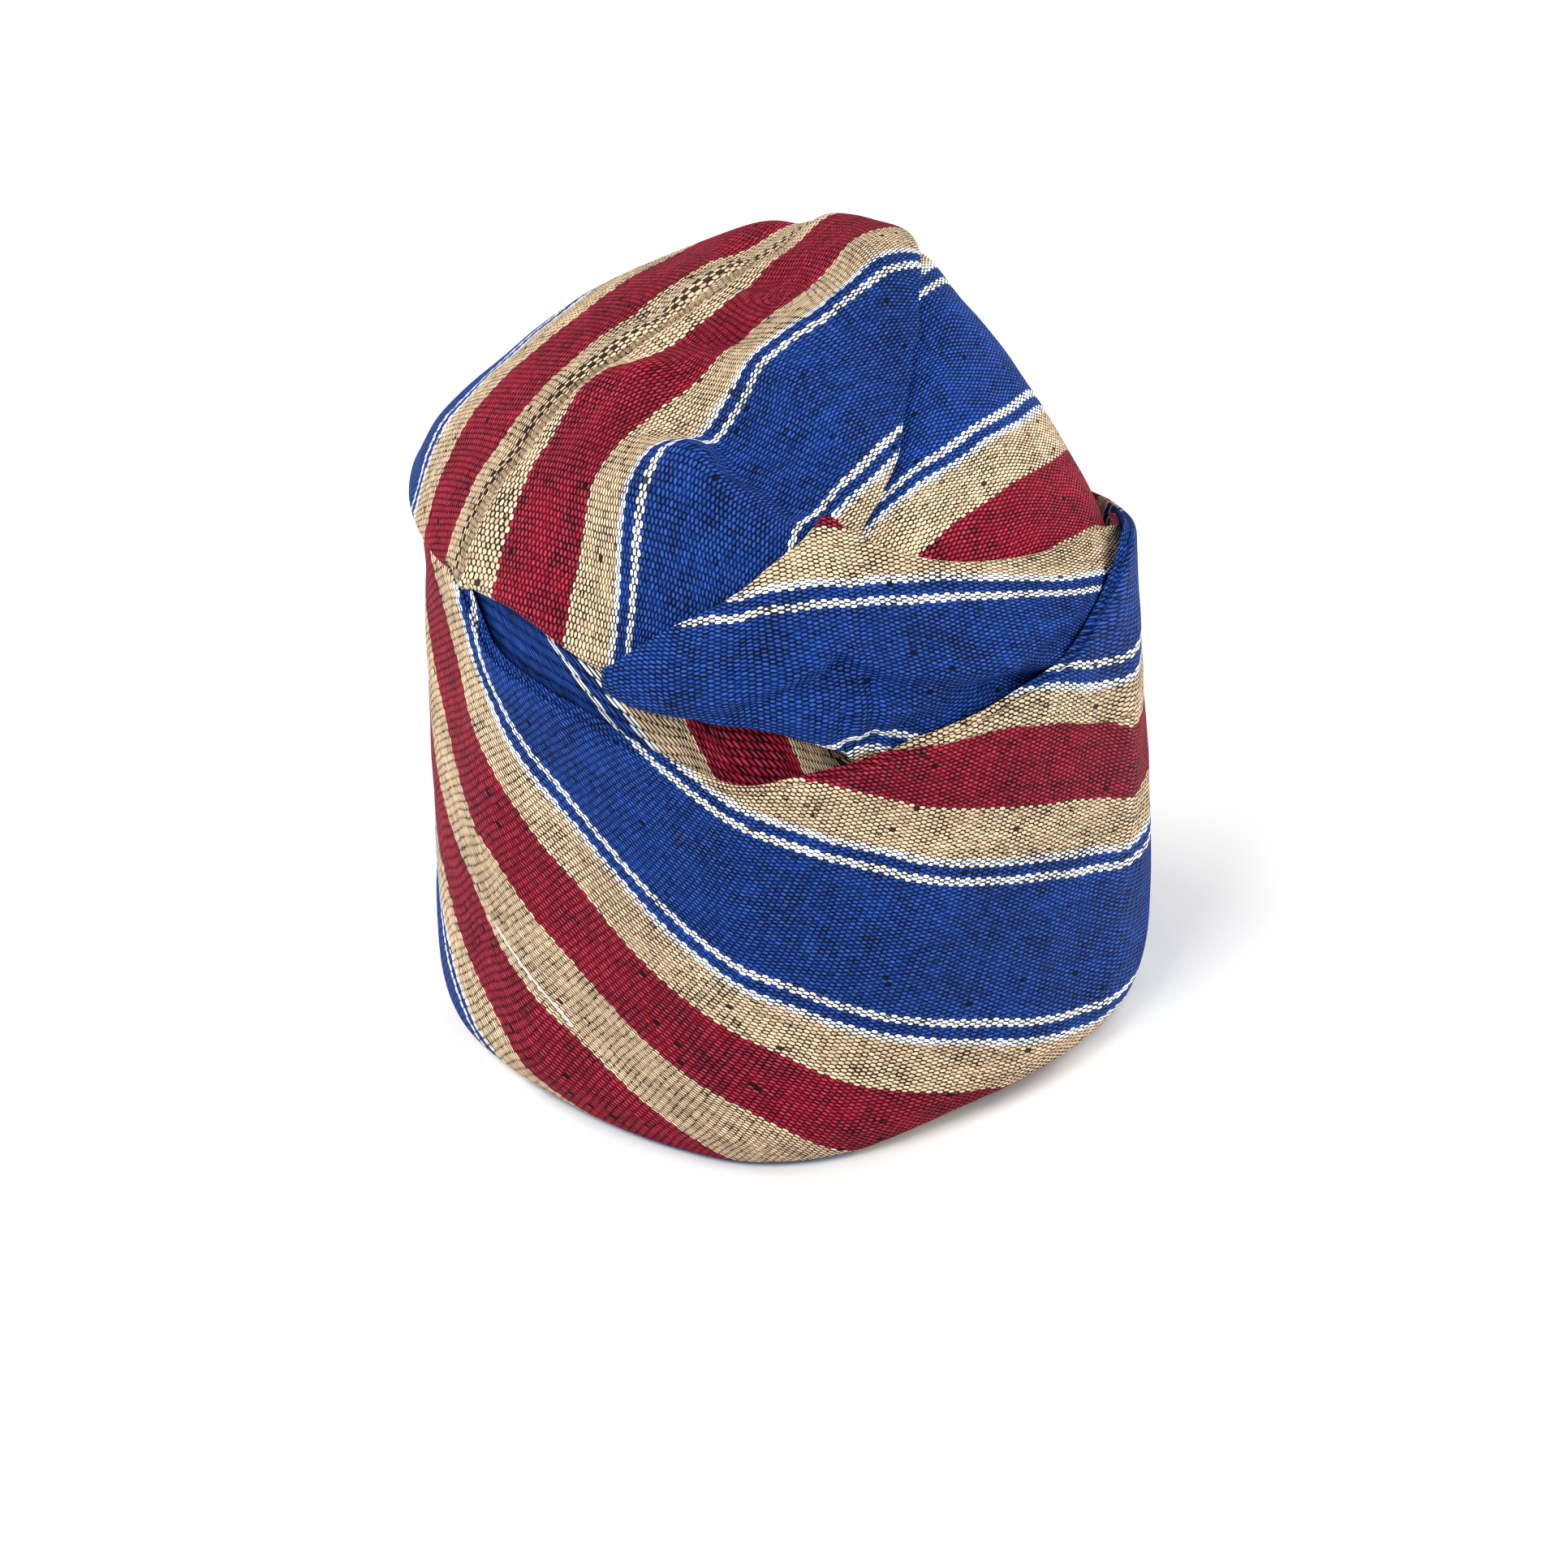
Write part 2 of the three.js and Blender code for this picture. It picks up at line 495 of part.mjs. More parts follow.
const hat = new THREE.Group();
hat.name = "turban_hat";
hat.add(ringMesh("band", turns.map(bandSection), BAND_COLOR));
hat.add(ringMesh("inner_cap", turns.map(capSection), CAP_COLOR));
hat.add(capMesh("crown_drape", crownTop, crownUnder, drapeTurns.map(drapeSection), DRAPE_COLOR));
hat.add(stripMesh("crown_panel", creaseTurns.map(panelSection), PANEL_COLOR));
const foldFrom = FOLD_ROWS[0].azimuth;
const foldTo = FOLD_ROWS[FOLD_ROWS.length - 1].azimuth;
hat.add(stripMesh("front_fold", spread(foldFrom, foldTo, FOLD_STEPS).map(foldSection), FOLD_COLOR));

// The origin is the middle of the base
const box = new THREE.Box3().setFromObject(hat);
const middle = box.getCenter(new THREE.Vector3());
for (const mesh of hat.children) mesh.geometry.translate(-middle.x, -middle.y, -box.min.z);

export default hat;
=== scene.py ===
import math

import bpy
import numpy as np
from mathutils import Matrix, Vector


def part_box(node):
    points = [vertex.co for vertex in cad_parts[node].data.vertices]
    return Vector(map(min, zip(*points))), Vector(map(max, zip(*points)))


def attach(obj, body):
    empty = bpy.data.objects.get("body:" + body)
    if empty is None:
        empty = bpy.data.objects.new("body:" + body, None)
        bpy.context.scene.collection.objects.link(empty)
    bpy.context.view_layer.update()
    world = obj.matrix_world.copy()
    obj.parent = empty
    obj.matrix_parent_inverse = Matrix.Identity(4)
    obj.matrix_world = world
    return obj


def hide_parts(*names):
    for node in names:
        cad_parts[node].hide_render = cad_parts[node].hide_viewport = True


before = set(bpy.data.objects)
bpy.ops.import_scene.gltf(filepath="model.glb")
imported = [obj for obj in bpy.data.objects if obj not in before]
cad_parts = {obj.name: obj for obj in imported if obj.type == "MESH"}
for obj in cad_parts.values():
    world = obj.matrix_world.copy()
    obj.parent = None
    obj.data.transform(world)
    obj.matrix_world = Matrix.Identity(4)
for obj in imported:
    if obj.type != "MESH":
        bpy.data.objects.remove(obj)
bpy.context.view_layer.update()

MM = 0.001

# Size over the band, height of the top and cloth walls
HALF_WIDTH = 95.0
HALF_DEPTH = 101.0
BAND_HEIGHT = 120.0
CROWN_HEIGHT = 200.0
BAND_WALL = 3.4
CAP_WALL = 2.2
CROWN_WALL = 2.0
FOLD_WALL = 2.0
GAP = 0.7
LAYER_GAP = 1.3
RIM_TURN = 3.0
CAP_FOOT = 15.0
PANEL_TUCK = 8.0
CREASE_START = 9.0
CREASE_END = 163.0
FOLD_TUCK = 8.0

BAND_COLUMNS = ("azimuth", "rim", "belly", "lip", "top", "lift")
BAND_ROWS = [
    (-150, 0.955, 1.0, 0.975, 1.05, 0),
    (-120, 0.95, 1.0, 0.98, 1.13, 0),
    (-90, 0.945, 0.995, 0.985, 1.165, 0),
    (-70, 0.925, 0.987, 0.98, 1.15, 0),
    (-62, 0.912, 0.985, 0.97, 1.11, 0.5),
    (-55, 0.9, 0.98, 0.965, 1.05, 1),
    (-42, 0.888, 0.972, 0.957, 1.015, 1),
    (-30, 0.9, 0.976, 0.956, 0.985, 0.5),
    (-18, 0.92, 0.996, 0.97, 0.945, 0),
    (-7, 0.94, 1.026, 1.0, 0.915, 0),
    (2, 0.935, 1.01, 0.995, 0.94, 0),
    (10, 0.905, 0.987, 0.977, 0.955, 0),
    (20, 0.875, 0.955, 0.95, 0.975, 1.5),
    (30, 0.865, 0.935, 0.93, 0.985, 3),
    (42, 0.872, 0.937, 0.927, 1.01, 3.5),
    (55, 0.885, 0.957, 0.94, 1.04, 3),
    (66, 0.895, 0.98, 0.948, 1.09, 2),
    (78, 0.925, 1.005, 0.955, 1.165, 0.5),
    (90, 0.95, 1.02, 0.955, 1.13, 0),
    (110, 0.965, 1.022, 0.97, 1.04, 0),
    (140, 0.965, 1.012, 0.976, 0.99, 0),
    (180, 0.96, 1.008, 0.98, 1.0, 0),
]
PROFILE_HEIGHT = (0, 0.12, 0.3, 0.5, 0.7, 0.88, 1)
PROFILE_SWELL = (1, 1, 1, 0.8, 0.5, 0.15, 0)

CAP_COLUMNS = ("azimuth", "inset", "lean", "top")
CAP_ROWS = [
    (-150, 4.4, 3, 1.15),
    (-115, 4.2, 2.5, 1.265),
    (-90, 4.2, 2.5, 1.302),
    (-45, 4.2, 3, 1.294),
    (-25, 4.4, 6, 1.16),
    (-7, 4.6, 10, 1.14),
    (6, 6.4, 8, 1.12),
    (20, 7, 5, 1.05),
    (45, 7.2, 4, 1.06),
    (75, 7.6, 5, 1.06),
    (100, 7.8, 6, 1.03),
    (135, 7.8, 6, 0.985),
    (165, 6.6, 5, 1.05),
]

CROWN_COLUMNS = ("azimuth", "hem", "hemTop", "h95", "h85", "h70", "h50", "h25")
CROWN_ROWS = [
    (-150, 0.975, 0.69, 0.76, 0.845, 0.92, 0.975, 1.0),
    (-120, 1.015, 0.73, 0.775, 0.83, 0.9, 0.965, 0.995),
    (-90, 1.03, 0.74, 0.79, 0.84, 0.905, 0.96, 0.992),
    (-60, 1.005, 0.735, 0.785, 0.84, 0.895, 0.945, 0.985),
    (-45, 0.985, 0.735, 0.79, 0.84, 0.895, 0.94, 0.982),
    (-32, 0.958, 0.695, 0.765, 0.83, 0.89, 0.94, 0.98),
    (-20, 0.948, 0.67, 0.745, 0.825, 0.89, 0.937, 0.98),
    (-5, 0.94, 0.655, 0.725, 0.805, 0.875, 0.927, 0.975),
    (8, 0.92, 0.655, 0.715, 0.79, 0.86, 0.917, 0.972),
    (20, 0.875, 0.655, 0.705, 0.77, 0.84, 0.905, 0.967),
    (42, 0.855, 0.655, 0.7, 0.755, 0.82, 0.89, 0.962),
    (65, 0.88, 0.655, 0.7, 0.752, 0.815, 0.887, 0.963),
    (90, 0.895, 0.645, 0.695, 0.755, 0.828, 0.915, 0.98),
    (115, 0.915, 0.605, 0.685, 0.772, 0.87, 0.952, 0.992),
    (140, 0.915, 0.58, 0.69, 0.81, 0.918, 0.985, 1.005),
    (165, 0.95, 0.65, 0.76, 0.87, 0.96, 1.015, 1.015),
    (180, 0.96, 0.66, 0.76, 0.865, 0.95, 1.0, 1.008),
]

CREASE_COLUMNS = ("azimuth", "reach")
CREASE_ROWS = [
    (15, 0.68),
    (24, 0.57),
    (33, 0.497),
    (49, 0.395),
    (73, 0.34),
    (90, 0.345),
    (115, 0.385),
    (141, 0.535),
    (153, 0.65),
]

# Dents and ridges of the crown as in the solids: both ends in the plan, as shares of the
# half width and, forward, of the half depth, then the spread and the lift
CROWN_FOLDS = [
    (-0.86, 0.4, -0.72, 0.31, 5, -1.6),
    (-0.72, 0.31, -0.37, 0.01, 5, -1.8),
    (-0.37, 0.01, 0.03, -0.48, 5, -1.2),
    (-0.3, 0.42, -0.15, 0.14, 9, -3),
    (-0.42, 0.62, -0.26, 0.58, 9, 2.4),
    (-0.26, 0.58, -0.02, 0.7, 8, 2.6),
    (-0.12, 0.5, 0.06, 0.56, 9, -2.6),
]

FOLD_COLUMNS = ("azimuth", "upper", "lower", "reach", "puff")
FOLD_ROWS = [
    (-27.5, 0.682, 0.662, 0.975, 0.5),
    (-24, 0.71, 0.652, 0.985, 1),
    (-19, 0.74, 0.65, 0.992, 2),
    (-14, 0.76, 0.65, 0.995, 3),
    (-8, 0.785, 0.65, 0.997, 3.5),
    (-2, 0.815, 0.64, 0.995, 3.5),
    (4, 0.835, 0.62, 0.98, 3.5),
    (8, 0.845, 0.6, 0.96, 3.5),
    (12, 0.828, 0.56, 0.938, 3),
    (20, 0.797, 0.52, 0.908, 3),
    (28, 0.775, 0.52, 0.89, 3),
    (36, 0.758, 0.53, 0.885, 3),
    (45, 0.744, 0.54, 0.89, 3),
    (54, 0.732, 0.55, 0.9, 2.5),
    (65, 0.72, 0.57, 0.905, 2),
    (78, 0.7, 0.6, 0.905, 1),
    (90, 0.67, 0.61, 0.905, 0.5),
    (99, 0.65, 0.615, 0.905, 0),
]

# Widths of the stripes across the cloth in millimetres, over one repeat. The stripes from
# the narrow blue to the red come twice, the second time the other way round.
NARROW = [("white", 2.4), ("blue", 3.4), ("white", 2.4), ("tan", 13.5), ("red", 21.5)]
STRIPES = [("blue", 37.0), *NARROW, ("tan", 15.2), ("dash", 4.6), ("tan", 8.2), *NARROW[::-1]]
REPEAT = sum(width for _, width in STRIPES)
COLORS = {
    "blue": (0.005, 0.045, 0.265),
    "white": (0.86, 0.88, 0.92),
    "tan": (0.66, 0.48, 0.30),
    "dash": (0.66, 0.48, 0.30),
    "red": (0.28, 0.005, 0.022),
}

# Weave: length of a pick along the stripes, pitch of the floats across them, and how far
# the ends of the floats reach between those of the next pick
PICK = 1.65
FLOAT = 1.14
INTERLOCK = 1.2


def table(columns, rows):
    return {name: np.array([row[i] for row in rows], float) for i, name in enumerate(columns)}


BAND = table(BAND_COLUMNS, BAND_ROWS)
CAP = table(CAP_COLUMNS, CAP_ROWS)
CROWN = table(CROWN_COLUMNS, CROWN_ROWS)
CREASE = table(CREASE_COLUMNS, CREASE_ROWS)
FOLD = table(FOLD_COLUMNS, FOLD_ROWS)


def at_index(stack, index):
    return np.take_along_axis(stack, index[None], 0)[0]


def smooth(xs, ys, x):
    """Smooth curve through knots; a knot's value may be an array of the same shape as x."""
    xs = np.asarray(xs, float)
    x = np.asarray(x, float)
    last = len(xs) - 1
    at = np.clip(x, xs[0], xs[last])
    i = np.clip(np.searchsorted(xs, at, side="left") - 1, 0, last - 1)
    knots = np.stack([np.broadcast_to(np.asarray(y, float), x.shape) for y in ys])
    slopes = []
    for k in range(last + 1):
        a, b = max(k - 1, 0), min(k + 1, last)
        slopes.append((knots[b] - knots[a]) / (xs[b] - xs[a]))
    slopes = np.stack(slopes)
    span = xs[i + 1] - xs[i]
    t = (at - xs[i]) / span
    t2 = t * t
    t3 = t * t * t
    start = (2 * t3 - 3 * t2 + 1) * at_index(knots, i) + (t3 - 2 * t2 + t) * span * at_index(slopes, i)
    end = (3 * t2 - 2 * t3) * at_index(knots, i + 1)
    return start + end + (t3 - t2) * span * at_index(slopes, i + 1)


def column(rows, key, azimuth):
    """A column of a table at azimuths between its rows."""
    return smooth(rows["azimuth"], rows[key], azimuth)


def ring_column(rows, key, azimuth):
    """A column of a table that goes right round."""
    turn = (np.asarray(azimuth, float) + 180) % 360 - 180
    xs = np.concatenate([rows["azimuth"][-3:] - 360, rows["azimuth"], rows["azimuth"][:3] + 360])
    ys = np.concatenate([rows[key][-3:], rows[key], rows[key][:3]])
    return smooth(xs, ys, turn)


def guide_lines(guides, at):
    """Positions of the guide lines at the places that their table's first column counts."""
    rows = np.array(guides, float)
    return np.stack([smooth(rows[:, 0], rows[:, k], at) for k in range(1, rows.shape[1])])


def oval(azimuth):
    """Radius of the hat's oval in plan."""
    a = np.radians(azimuth)
    return 1 / np.hypot(np.sin(a) / HALF_WIDTH, np.cos(a) / HALF_DEPTH)


def place(azimuth, radius, z):
    a = np.radians(azimuth)
    return np.stack(np.broadcast_arrays(radius * np.sin(a), -radius * np.cos(a), z), -1)


def bump(x, centre, spread):
    return np.exp(-(((x - centre) / spread) ** 2))


def bumps(x, rows):
    return sum(height * bump(x, centre, spread) for height, centre, spread in rows)


def ramp(x, start, length):
    """Grows from 0 to 1 over a length."""
    return np.clip((x - start) / length, 0, 1)


WAVE_VARIES = (0.7, 1.4)


def waves(p, seed, count, length, amount):
    """Smooth unevenness: a seeded sum of plane waves, whose lengths vary a little."""
    rng = np.random.default_rng(seed)
    total = np.zeros(p.shape[:-1])
    for _ in range(count):
        k = rng.normal(size=3)
        k *= 2 * math.pi / (length * rng.uniform(*WAVE_VARIES) * np.linalg.norm(k))
        total += np.sin(p @ k + rng.uniform(0, 2 * math.pi))
    return amount * total / math.sqrt(count)


# Shares of the hem's radius at which the crown's heights are given. The first is the same
# height past the centre. Dents fade out over the last share before the hem.
CROWN_SHARES = (-0.25, 0, 0.25, 0.5, 0.7, 0.85, 0.95, 1)
HEM_FADE = 0.08

# Least share, steps in share and degrees over which slopes are taken, halvings of a search
CENTRE_SHARE = 0.001
SLOPE_SHARE = 0.02
SLOPE_TURN = 2
HALVINGS = 26


def band_radius(azimuth, z):
    belly = ring_column(BAND, "belly", azimuth) * oval(azimuth)
    lip = ring_column(BAND, "lip", azimuth) * oval(azimuth)
    top = ring_column(BAND, "top", azimuth) * BAND_HEIGHT
    return lip + (belly - lip) * smooth(PROFILE_HEIGHT, PROFILE_SWELL, z / top)


def hem_radius(azimuth):
    return ring_column(CROWN, "hem", azimuth) * oval(azimuth)


def fold_lift(points, folds):
    """Height that dents and ridges add at points of the crown."""
    x = points[..., 0]
    forward = -points[..., 1]
    lift = np.zeros(x.shape)
    for from_x, from_f, to_x, to_f, width, height in folds:
        ax, af = from_x * HALF_WIDTH, from_f * HALF_DEPTH
        rx, rf = to_x * HALF_WIDTH - ax, to_f * HALF_DEPTH - af
        t = np.clip(((x - ax) * rx + (forward - af) * rf) / (rx * rx + rf * rf), 0, 1)
        away = np.hypot(x - ax - t * rx, forward - af - t * rf) / width
        lift = lift + height * np.exp(-away * away)
    return lift


def crown_point(azimuth, share):
    """Point of the crown at a share of the hem's radius."""
    azimuth, share = np.broadcast_arrays(np.asarray(azimuth, float), np.asarray(share, float))
    heights = [ring_column(CROWN, key, azimuth) for key in reversed(CROWN_COLUMNS[2:])]
    knots = [heights[0], np.ones_like(azimuth)] + heights
    z = CROWN_HEIGHT * smooth(CROWN_SHARES, knots, share)
    point = place(azimuth, share * hem_radius(azimuth), 0.0)
    fade = np.minimum(1, (1 - share) / HEM_FADE)
    point[..., 2] = z + fade * fold_lift(point, CROWN_FOLDS)
    return point


def crown_normal(azimuth, share):
    azimuth, share = np.broadcast_arrays(np.asarray(azimuth, float), np.asarray(share, float))
    farther = crown_point(azimuth, np.minimum(share + SLOPE_SHARE, 1))
    nearer = crown_point(azimuth, np.maximum(share - SLOPE_SHARE, CENTRE_SHARE))
    side = crown_point(azimuth + SLOPE_TURN, share) - crown_point(azimuth - SLOPE_TURN, share)
    normal = np.cross(farther - nearer, side)
    normal /= np.linalg.norm(normal, axis=-1, keepdims=True) + 1e-12
    return np.where(normal[..., 2:] < 0, -normal, normal)


def drape_reach(azimuth):
    """Share of the hem's radius that the drape reaches: the crease, or the hem itself."""
    azimuth = np.asarray(azimuth, float)
    share = np.ones_like(azimuth)
    inside = (azimuth > CREASE_START) & (azimuth < CREASE_END)
    if inside.any():
        a = azimuth[inside]
        hem = hem_radius(a) / oval(a)
        xs = np.concatenate([[CREASE_START], CREASE["azimuth"], [CREASE_END]])
        reach = [hem] + [np.full_like(hem, r) for r in CREASE["reach"]] + [hem]
        share[inside] = np.minimum(smooth(xs, reach, a) / hem, 1)
    return share


def crown_share_at(azimuth, z):
    """Share of the hem's radius at which the crown has the height z, found by halving."""
    shape = np.broadcast(azimuth, z).shape
    low = np.zeros(shape)
    high = np.ones(shape)
    for _ in range(HALVINGS):
        middle = (low + high) / 2
        above = crown_point(azimuth, middle)[..., 2] > z
        low, high = np.where(above, middle, low), np.where(above, high, middle)
    return (low + high) / 2


# Guides of the stripes. The first row names the place in the repeat that each line of
# the cloth has; a row gives where these lines run.
BAND_GUIDE_PLACES = (-4.1, 41.1, 80.2, 108.2, 129.7, 147.3)
BAND_GUIDES = [
    (-180, 323, 275, 233.4, 203.6, 181, 162),
    (-150, 302, 253, 211, 180, 158, 139),
    (-120, 274, 223.5, 178, 146, 123, 104),
    (-95, 244, 191, 141, 107, 76, 54),
    (-80, 220, 167.5, 113, 80, 52.5, 33),
    (-70, 200, 149, 92, 66, 43.5, 22),
    (-60, 178, 129.8, 76, 56.8, 29, 7),
    (-52, 161, 115, 68, 44, 20, -1),
    (-44, 147, 102.5, 58.3, 35, 9.5, -10),
    (-34, 134, 92, 48.5, 27, 3, -17),
    (-22, 119.5, 77, 34.8, 15.5, -8, -28),
    (-14, 111.4, 67, 26.8, 8, -15, -34),
    (-7, 104.5, 58.9, 21.5, 0, -22, -40),
    (0, 99.4, 52.9, 14, -10, -31, -48),
    (8, 93, 45.3, 4, -22, -43, -60),
    (22, 82, 34.8, -6, -35, -56, -73),
    (44, 69.8, 21.5, -19, -48, -69, -86),
    (60, 61.3, 13.8, -27, -56, -77, -94),
    (75, 51.5, 7.8, -33, -62, -83, -100),
    (95, 46, 0, -41, -71, -92, -109),
    (125, 33, -14.5, -56, -86, -107, -124),
    (155, 17, -31.5, -73, -103, -124, -141),
    (180, 1.2, -46.8, -88.4, -118.2, -140, -157),
]

# Edge of the wrap that lies over the top of the band at the right: its height, and the
# place of the repeat that comes out there
OVER_EDGE = [
    (10, 122), (24, 116.5), (34, 115.5), (46, 110.6), (60, 101),
    (75, 93.4), (90, 94), (102, 104), (116, 132),
]
OVER_PLACE = -97.0

# On the crown the lines run along a slanted axis in plan, from front left to back right
CROWN_TURN = 55.0
DRAPE_GUIDE_PLACES = (-4.1, 41.1, 58.7, 80.2, 90.0, 95.0, 108.2, 129.7, 147.3)
DRAPE_GUIDES = [
    (-95, 50, 15.5, -0.8, -23.6, -38.7, -39.1, -45, -60, -70),
    (-88, 48.5, 12.8, -1.2, -23.4, -38.6, -39, -45, -59, -68.5),
    (-80, 48, 7.6, -4.6, -25.4, -38.1, -38.5, -45.3, -57.8, -67.5),
    (-72, 47.5, 4, -7.5, -27, -37.2, -37.6, -45.6, -59, -68.5),
    (-64, 47, 3.9, -7.1, -26.6, -36.1, -36.5, -43.4, -60, -69.5),
    (-57, 44.9, 8.7, -6, -27.3, -35, -35.4, -41.7, -61, -71.5),
    (-49, 44.6, 11.5, -4.8, -27, -33, -33.4, -40, -61, -73),
    (-42, 44.6, 11.4, -2.6, -23.8, -29.6, -30, -38.4, -58.5, -72.5),
    (-36, 44.6, 10.6, -1.8, -17.5, -26.6, -27, -37, -55.8, -72),
    (-28, 44.6, 8.5, -1.4, -13.8, -23.2, -23.6, -34.6, -51.8, -70),
    (-20, 44, 8.3, -2.2, -12.2, -21.4, -21.8, -33, -49.5, -69),
    (-8, 43.3, 9.2, 1.9, -11.2, -20.5, -20.9, -31.9, -47.6, -66),
    (12, 43, 9.8, 1.9, -13.7, -21.2, -21.6, -32, -48.8, -65),
    (32, 42.5, 10.5, 0.9, -13.8, -21.8, -22.2, -30.5, -48, -63),
    (95, 41, 10, -1, -16, -23, -23.4, -32, -48, -63),
]
PANEL_GUIDE_PLACES = (-43.2, -21.7, -4.1, 41.1)
PANEL_GUIDES = [
    (-40, 76, 61, 48.5, 16),
    (-15, 76, 61.8, 50.4, 16.6),
    (5, 75.2, 61.7, 50.6, 17),
    (26, 72.8, 59.8, 49, 16.2),
    (45, 68, 54.8, 44.2, 13.4),
    (62, 60, 47.5, 38.5, 7.5),
    (90, 50, 37, 29, 2),
]

# Front fold: depth of the middle of the white pair and of the lower white pair under the
# upper edge, in millimetres along the cloth
FOLD_GUIDE_PLACES = (-4.1, 41.1)
FOLD_GUIDES = [
    (-28, 22, -20),
    (-20, 35, -8),
    (-16.4, 40, -2.9),
    (-11.4, 44, 0.3),
    (-8.3, 47, 3.2),
    (-5.2, 50, 5.9),
    (-1.4, 55, 9.8),
    (3.9, 60, 14.8),
    (8.1, 63.5, 19.8),
    (12.6, 57.4, 15.4),
    (17, 55.5, 12),
    (22.5, 53.5, 9.1),
    (33, 50, 6.2),
    (47, 44.5, 6.9),
    (62, 45.5, 10.6),
    (87, 54.5, 15),
    (99, 54.5, 15),
]

# Inner cap: heights of the lines at lengths along the plan oval from the front
CAP_GUIDE_PLACES = (-4.1, 41.1, 58.7, 80.2)
CAP_GUIDES = [
    (-330, 295, 331, 362, 402),
    (-120, 136, 171.5, 200, 240),
    (-80, 105.5, 141.1, 165, 205),
    (-62, 92, 127.4, 152, 190),
    (-49, 82, 117.6, 140, 178),
    (-38, 73.5, 109.2, 129, 165),
    (-31, 68, 103.9, 123.8, 157),
    (-24, 62.5, 98.6, 114.4, 148),
    (-18, 58, 94, 105.5, 139),
    (-10, 52, 86, 98, 131),
    (-1.2, 44, 76, 90, 121.3),
    (6, 36, 67, 83, 107.9),
    (14, 28, 58, 74, 95),
    (330, -210, -180, -164, -143),
]

# Finer dents and ridges of the draped cloth, in the columns of the crown's folds
DRAPE_FOLDS = [
    (-0.24, 0.45, -0.13, 0.585, 4.5, -2.0),
    (-0.13, 0.585, 0.0, 0.645, 4.5, -2.2),
    (0.0, 0.645, 0.09, 0.62, 4.0, -1.4),
    (-0.36, 0.5, -0.22, 0.66, 5.0, 1.0),
    (-0.22, 0.66, -0.08, 0.745, 4.0, 1.4),
    (-0.08, 0.745, 0.04, 0.75, 4.0, 1.2),
    (-0.42, 0.185, -0.14, 0.13, 3.5, -1.3),
    (-0.55, 0.27, -0.4, 0.245, 4.0, 1.1),
    (-0.4, 0.245, -0.2, 0.215, 4.5, 1.2),
    (-0.62, 0.55, -0.42, 0.3, 5.0, 0.9),
    (-0.34, 0.02, -0.02, -0.12, 5.0, -0.8),
    (-0.1, -0.32, 0.12, -0.64, 7.0, -3.6),
]
# Rounding of the top at the crease, on the drape and the panel alike
TOP_FOLDS = [(0.22, -0.2, 0.4, -0.56, 11.0, 4.8)]

# Pleat along the dashed threads: its guide, then height, middle and spread of the ridge and
# of the groove
PLEAT_PLACE = 90.0
PLEAT = [(1.9, -4.5, 3.2), (-2.3, 0.6, 1.7)]

# Crest across the front fold: azimuth and depth below the upper edge
FOLD_CREST = [(-10, 26), (9, 33), (22, 30), (34, 27.3), (57, 31), (80, 33)]
# Height, middle and spread of the crest and of the groove under it
CREST = [(2.2, 0, 3.0), (-1.9, 6.0, 3.4)]

# Seam on the band: ends on the plan arc and their heights
SEAM_FROM = (-92.0, 47.0)
SEAM_TO = (-62.0, 29.0)

# Grid over the plan of the crown, as its half side and step, and points round the oval
PLAN_HALF = 124
PLAN_STEP = 2.0
PLAN_TURNS = 1441


def plan_arc(azimuth):
    """Length along the plan oval from the front, in millimetres."""
    turns = np.linspace(-180, 180, PLAN_TURNS)
    rim = place(turns, oval(turns), 0.0)
    length = np.concatenate([[0], np.cumsum(np.linalg.norm(np.diff(rim, axis=0), axis=1))])
    length -= np.interp(0, turns, length)
    return np.interp(azimuth, turns, length)


def between_guides(at, lines, places):
    """Place in the repeat at positions that may lie between or past the guide lines. lines
    has one row of positions per guide; the places past the last guides keep their spacing."""
    order = np.argsort(lines.reshape(len(lines), -1)[:, 0])
    lines, places = lines[order], np.asarray(places, float)[order]
    first = (places[1] - places[0]) / (lines[1] - lines[0])
    last = (places[-1] - places[-2]) / (lines[-1] - lines[-2])
    value = places[0] + (at - lines[0]) * first
    for k in range(len(places) - 1):
        t = (at - lines[k]) / (lines[k + 1] - lines[k])
        value = np.where(at > lines[k], places[k] + t * (places[k + 1] - places[k]), value)
    return np.where(at > lines[-1], places[-1] + (at - lines[-1]) * last, value)


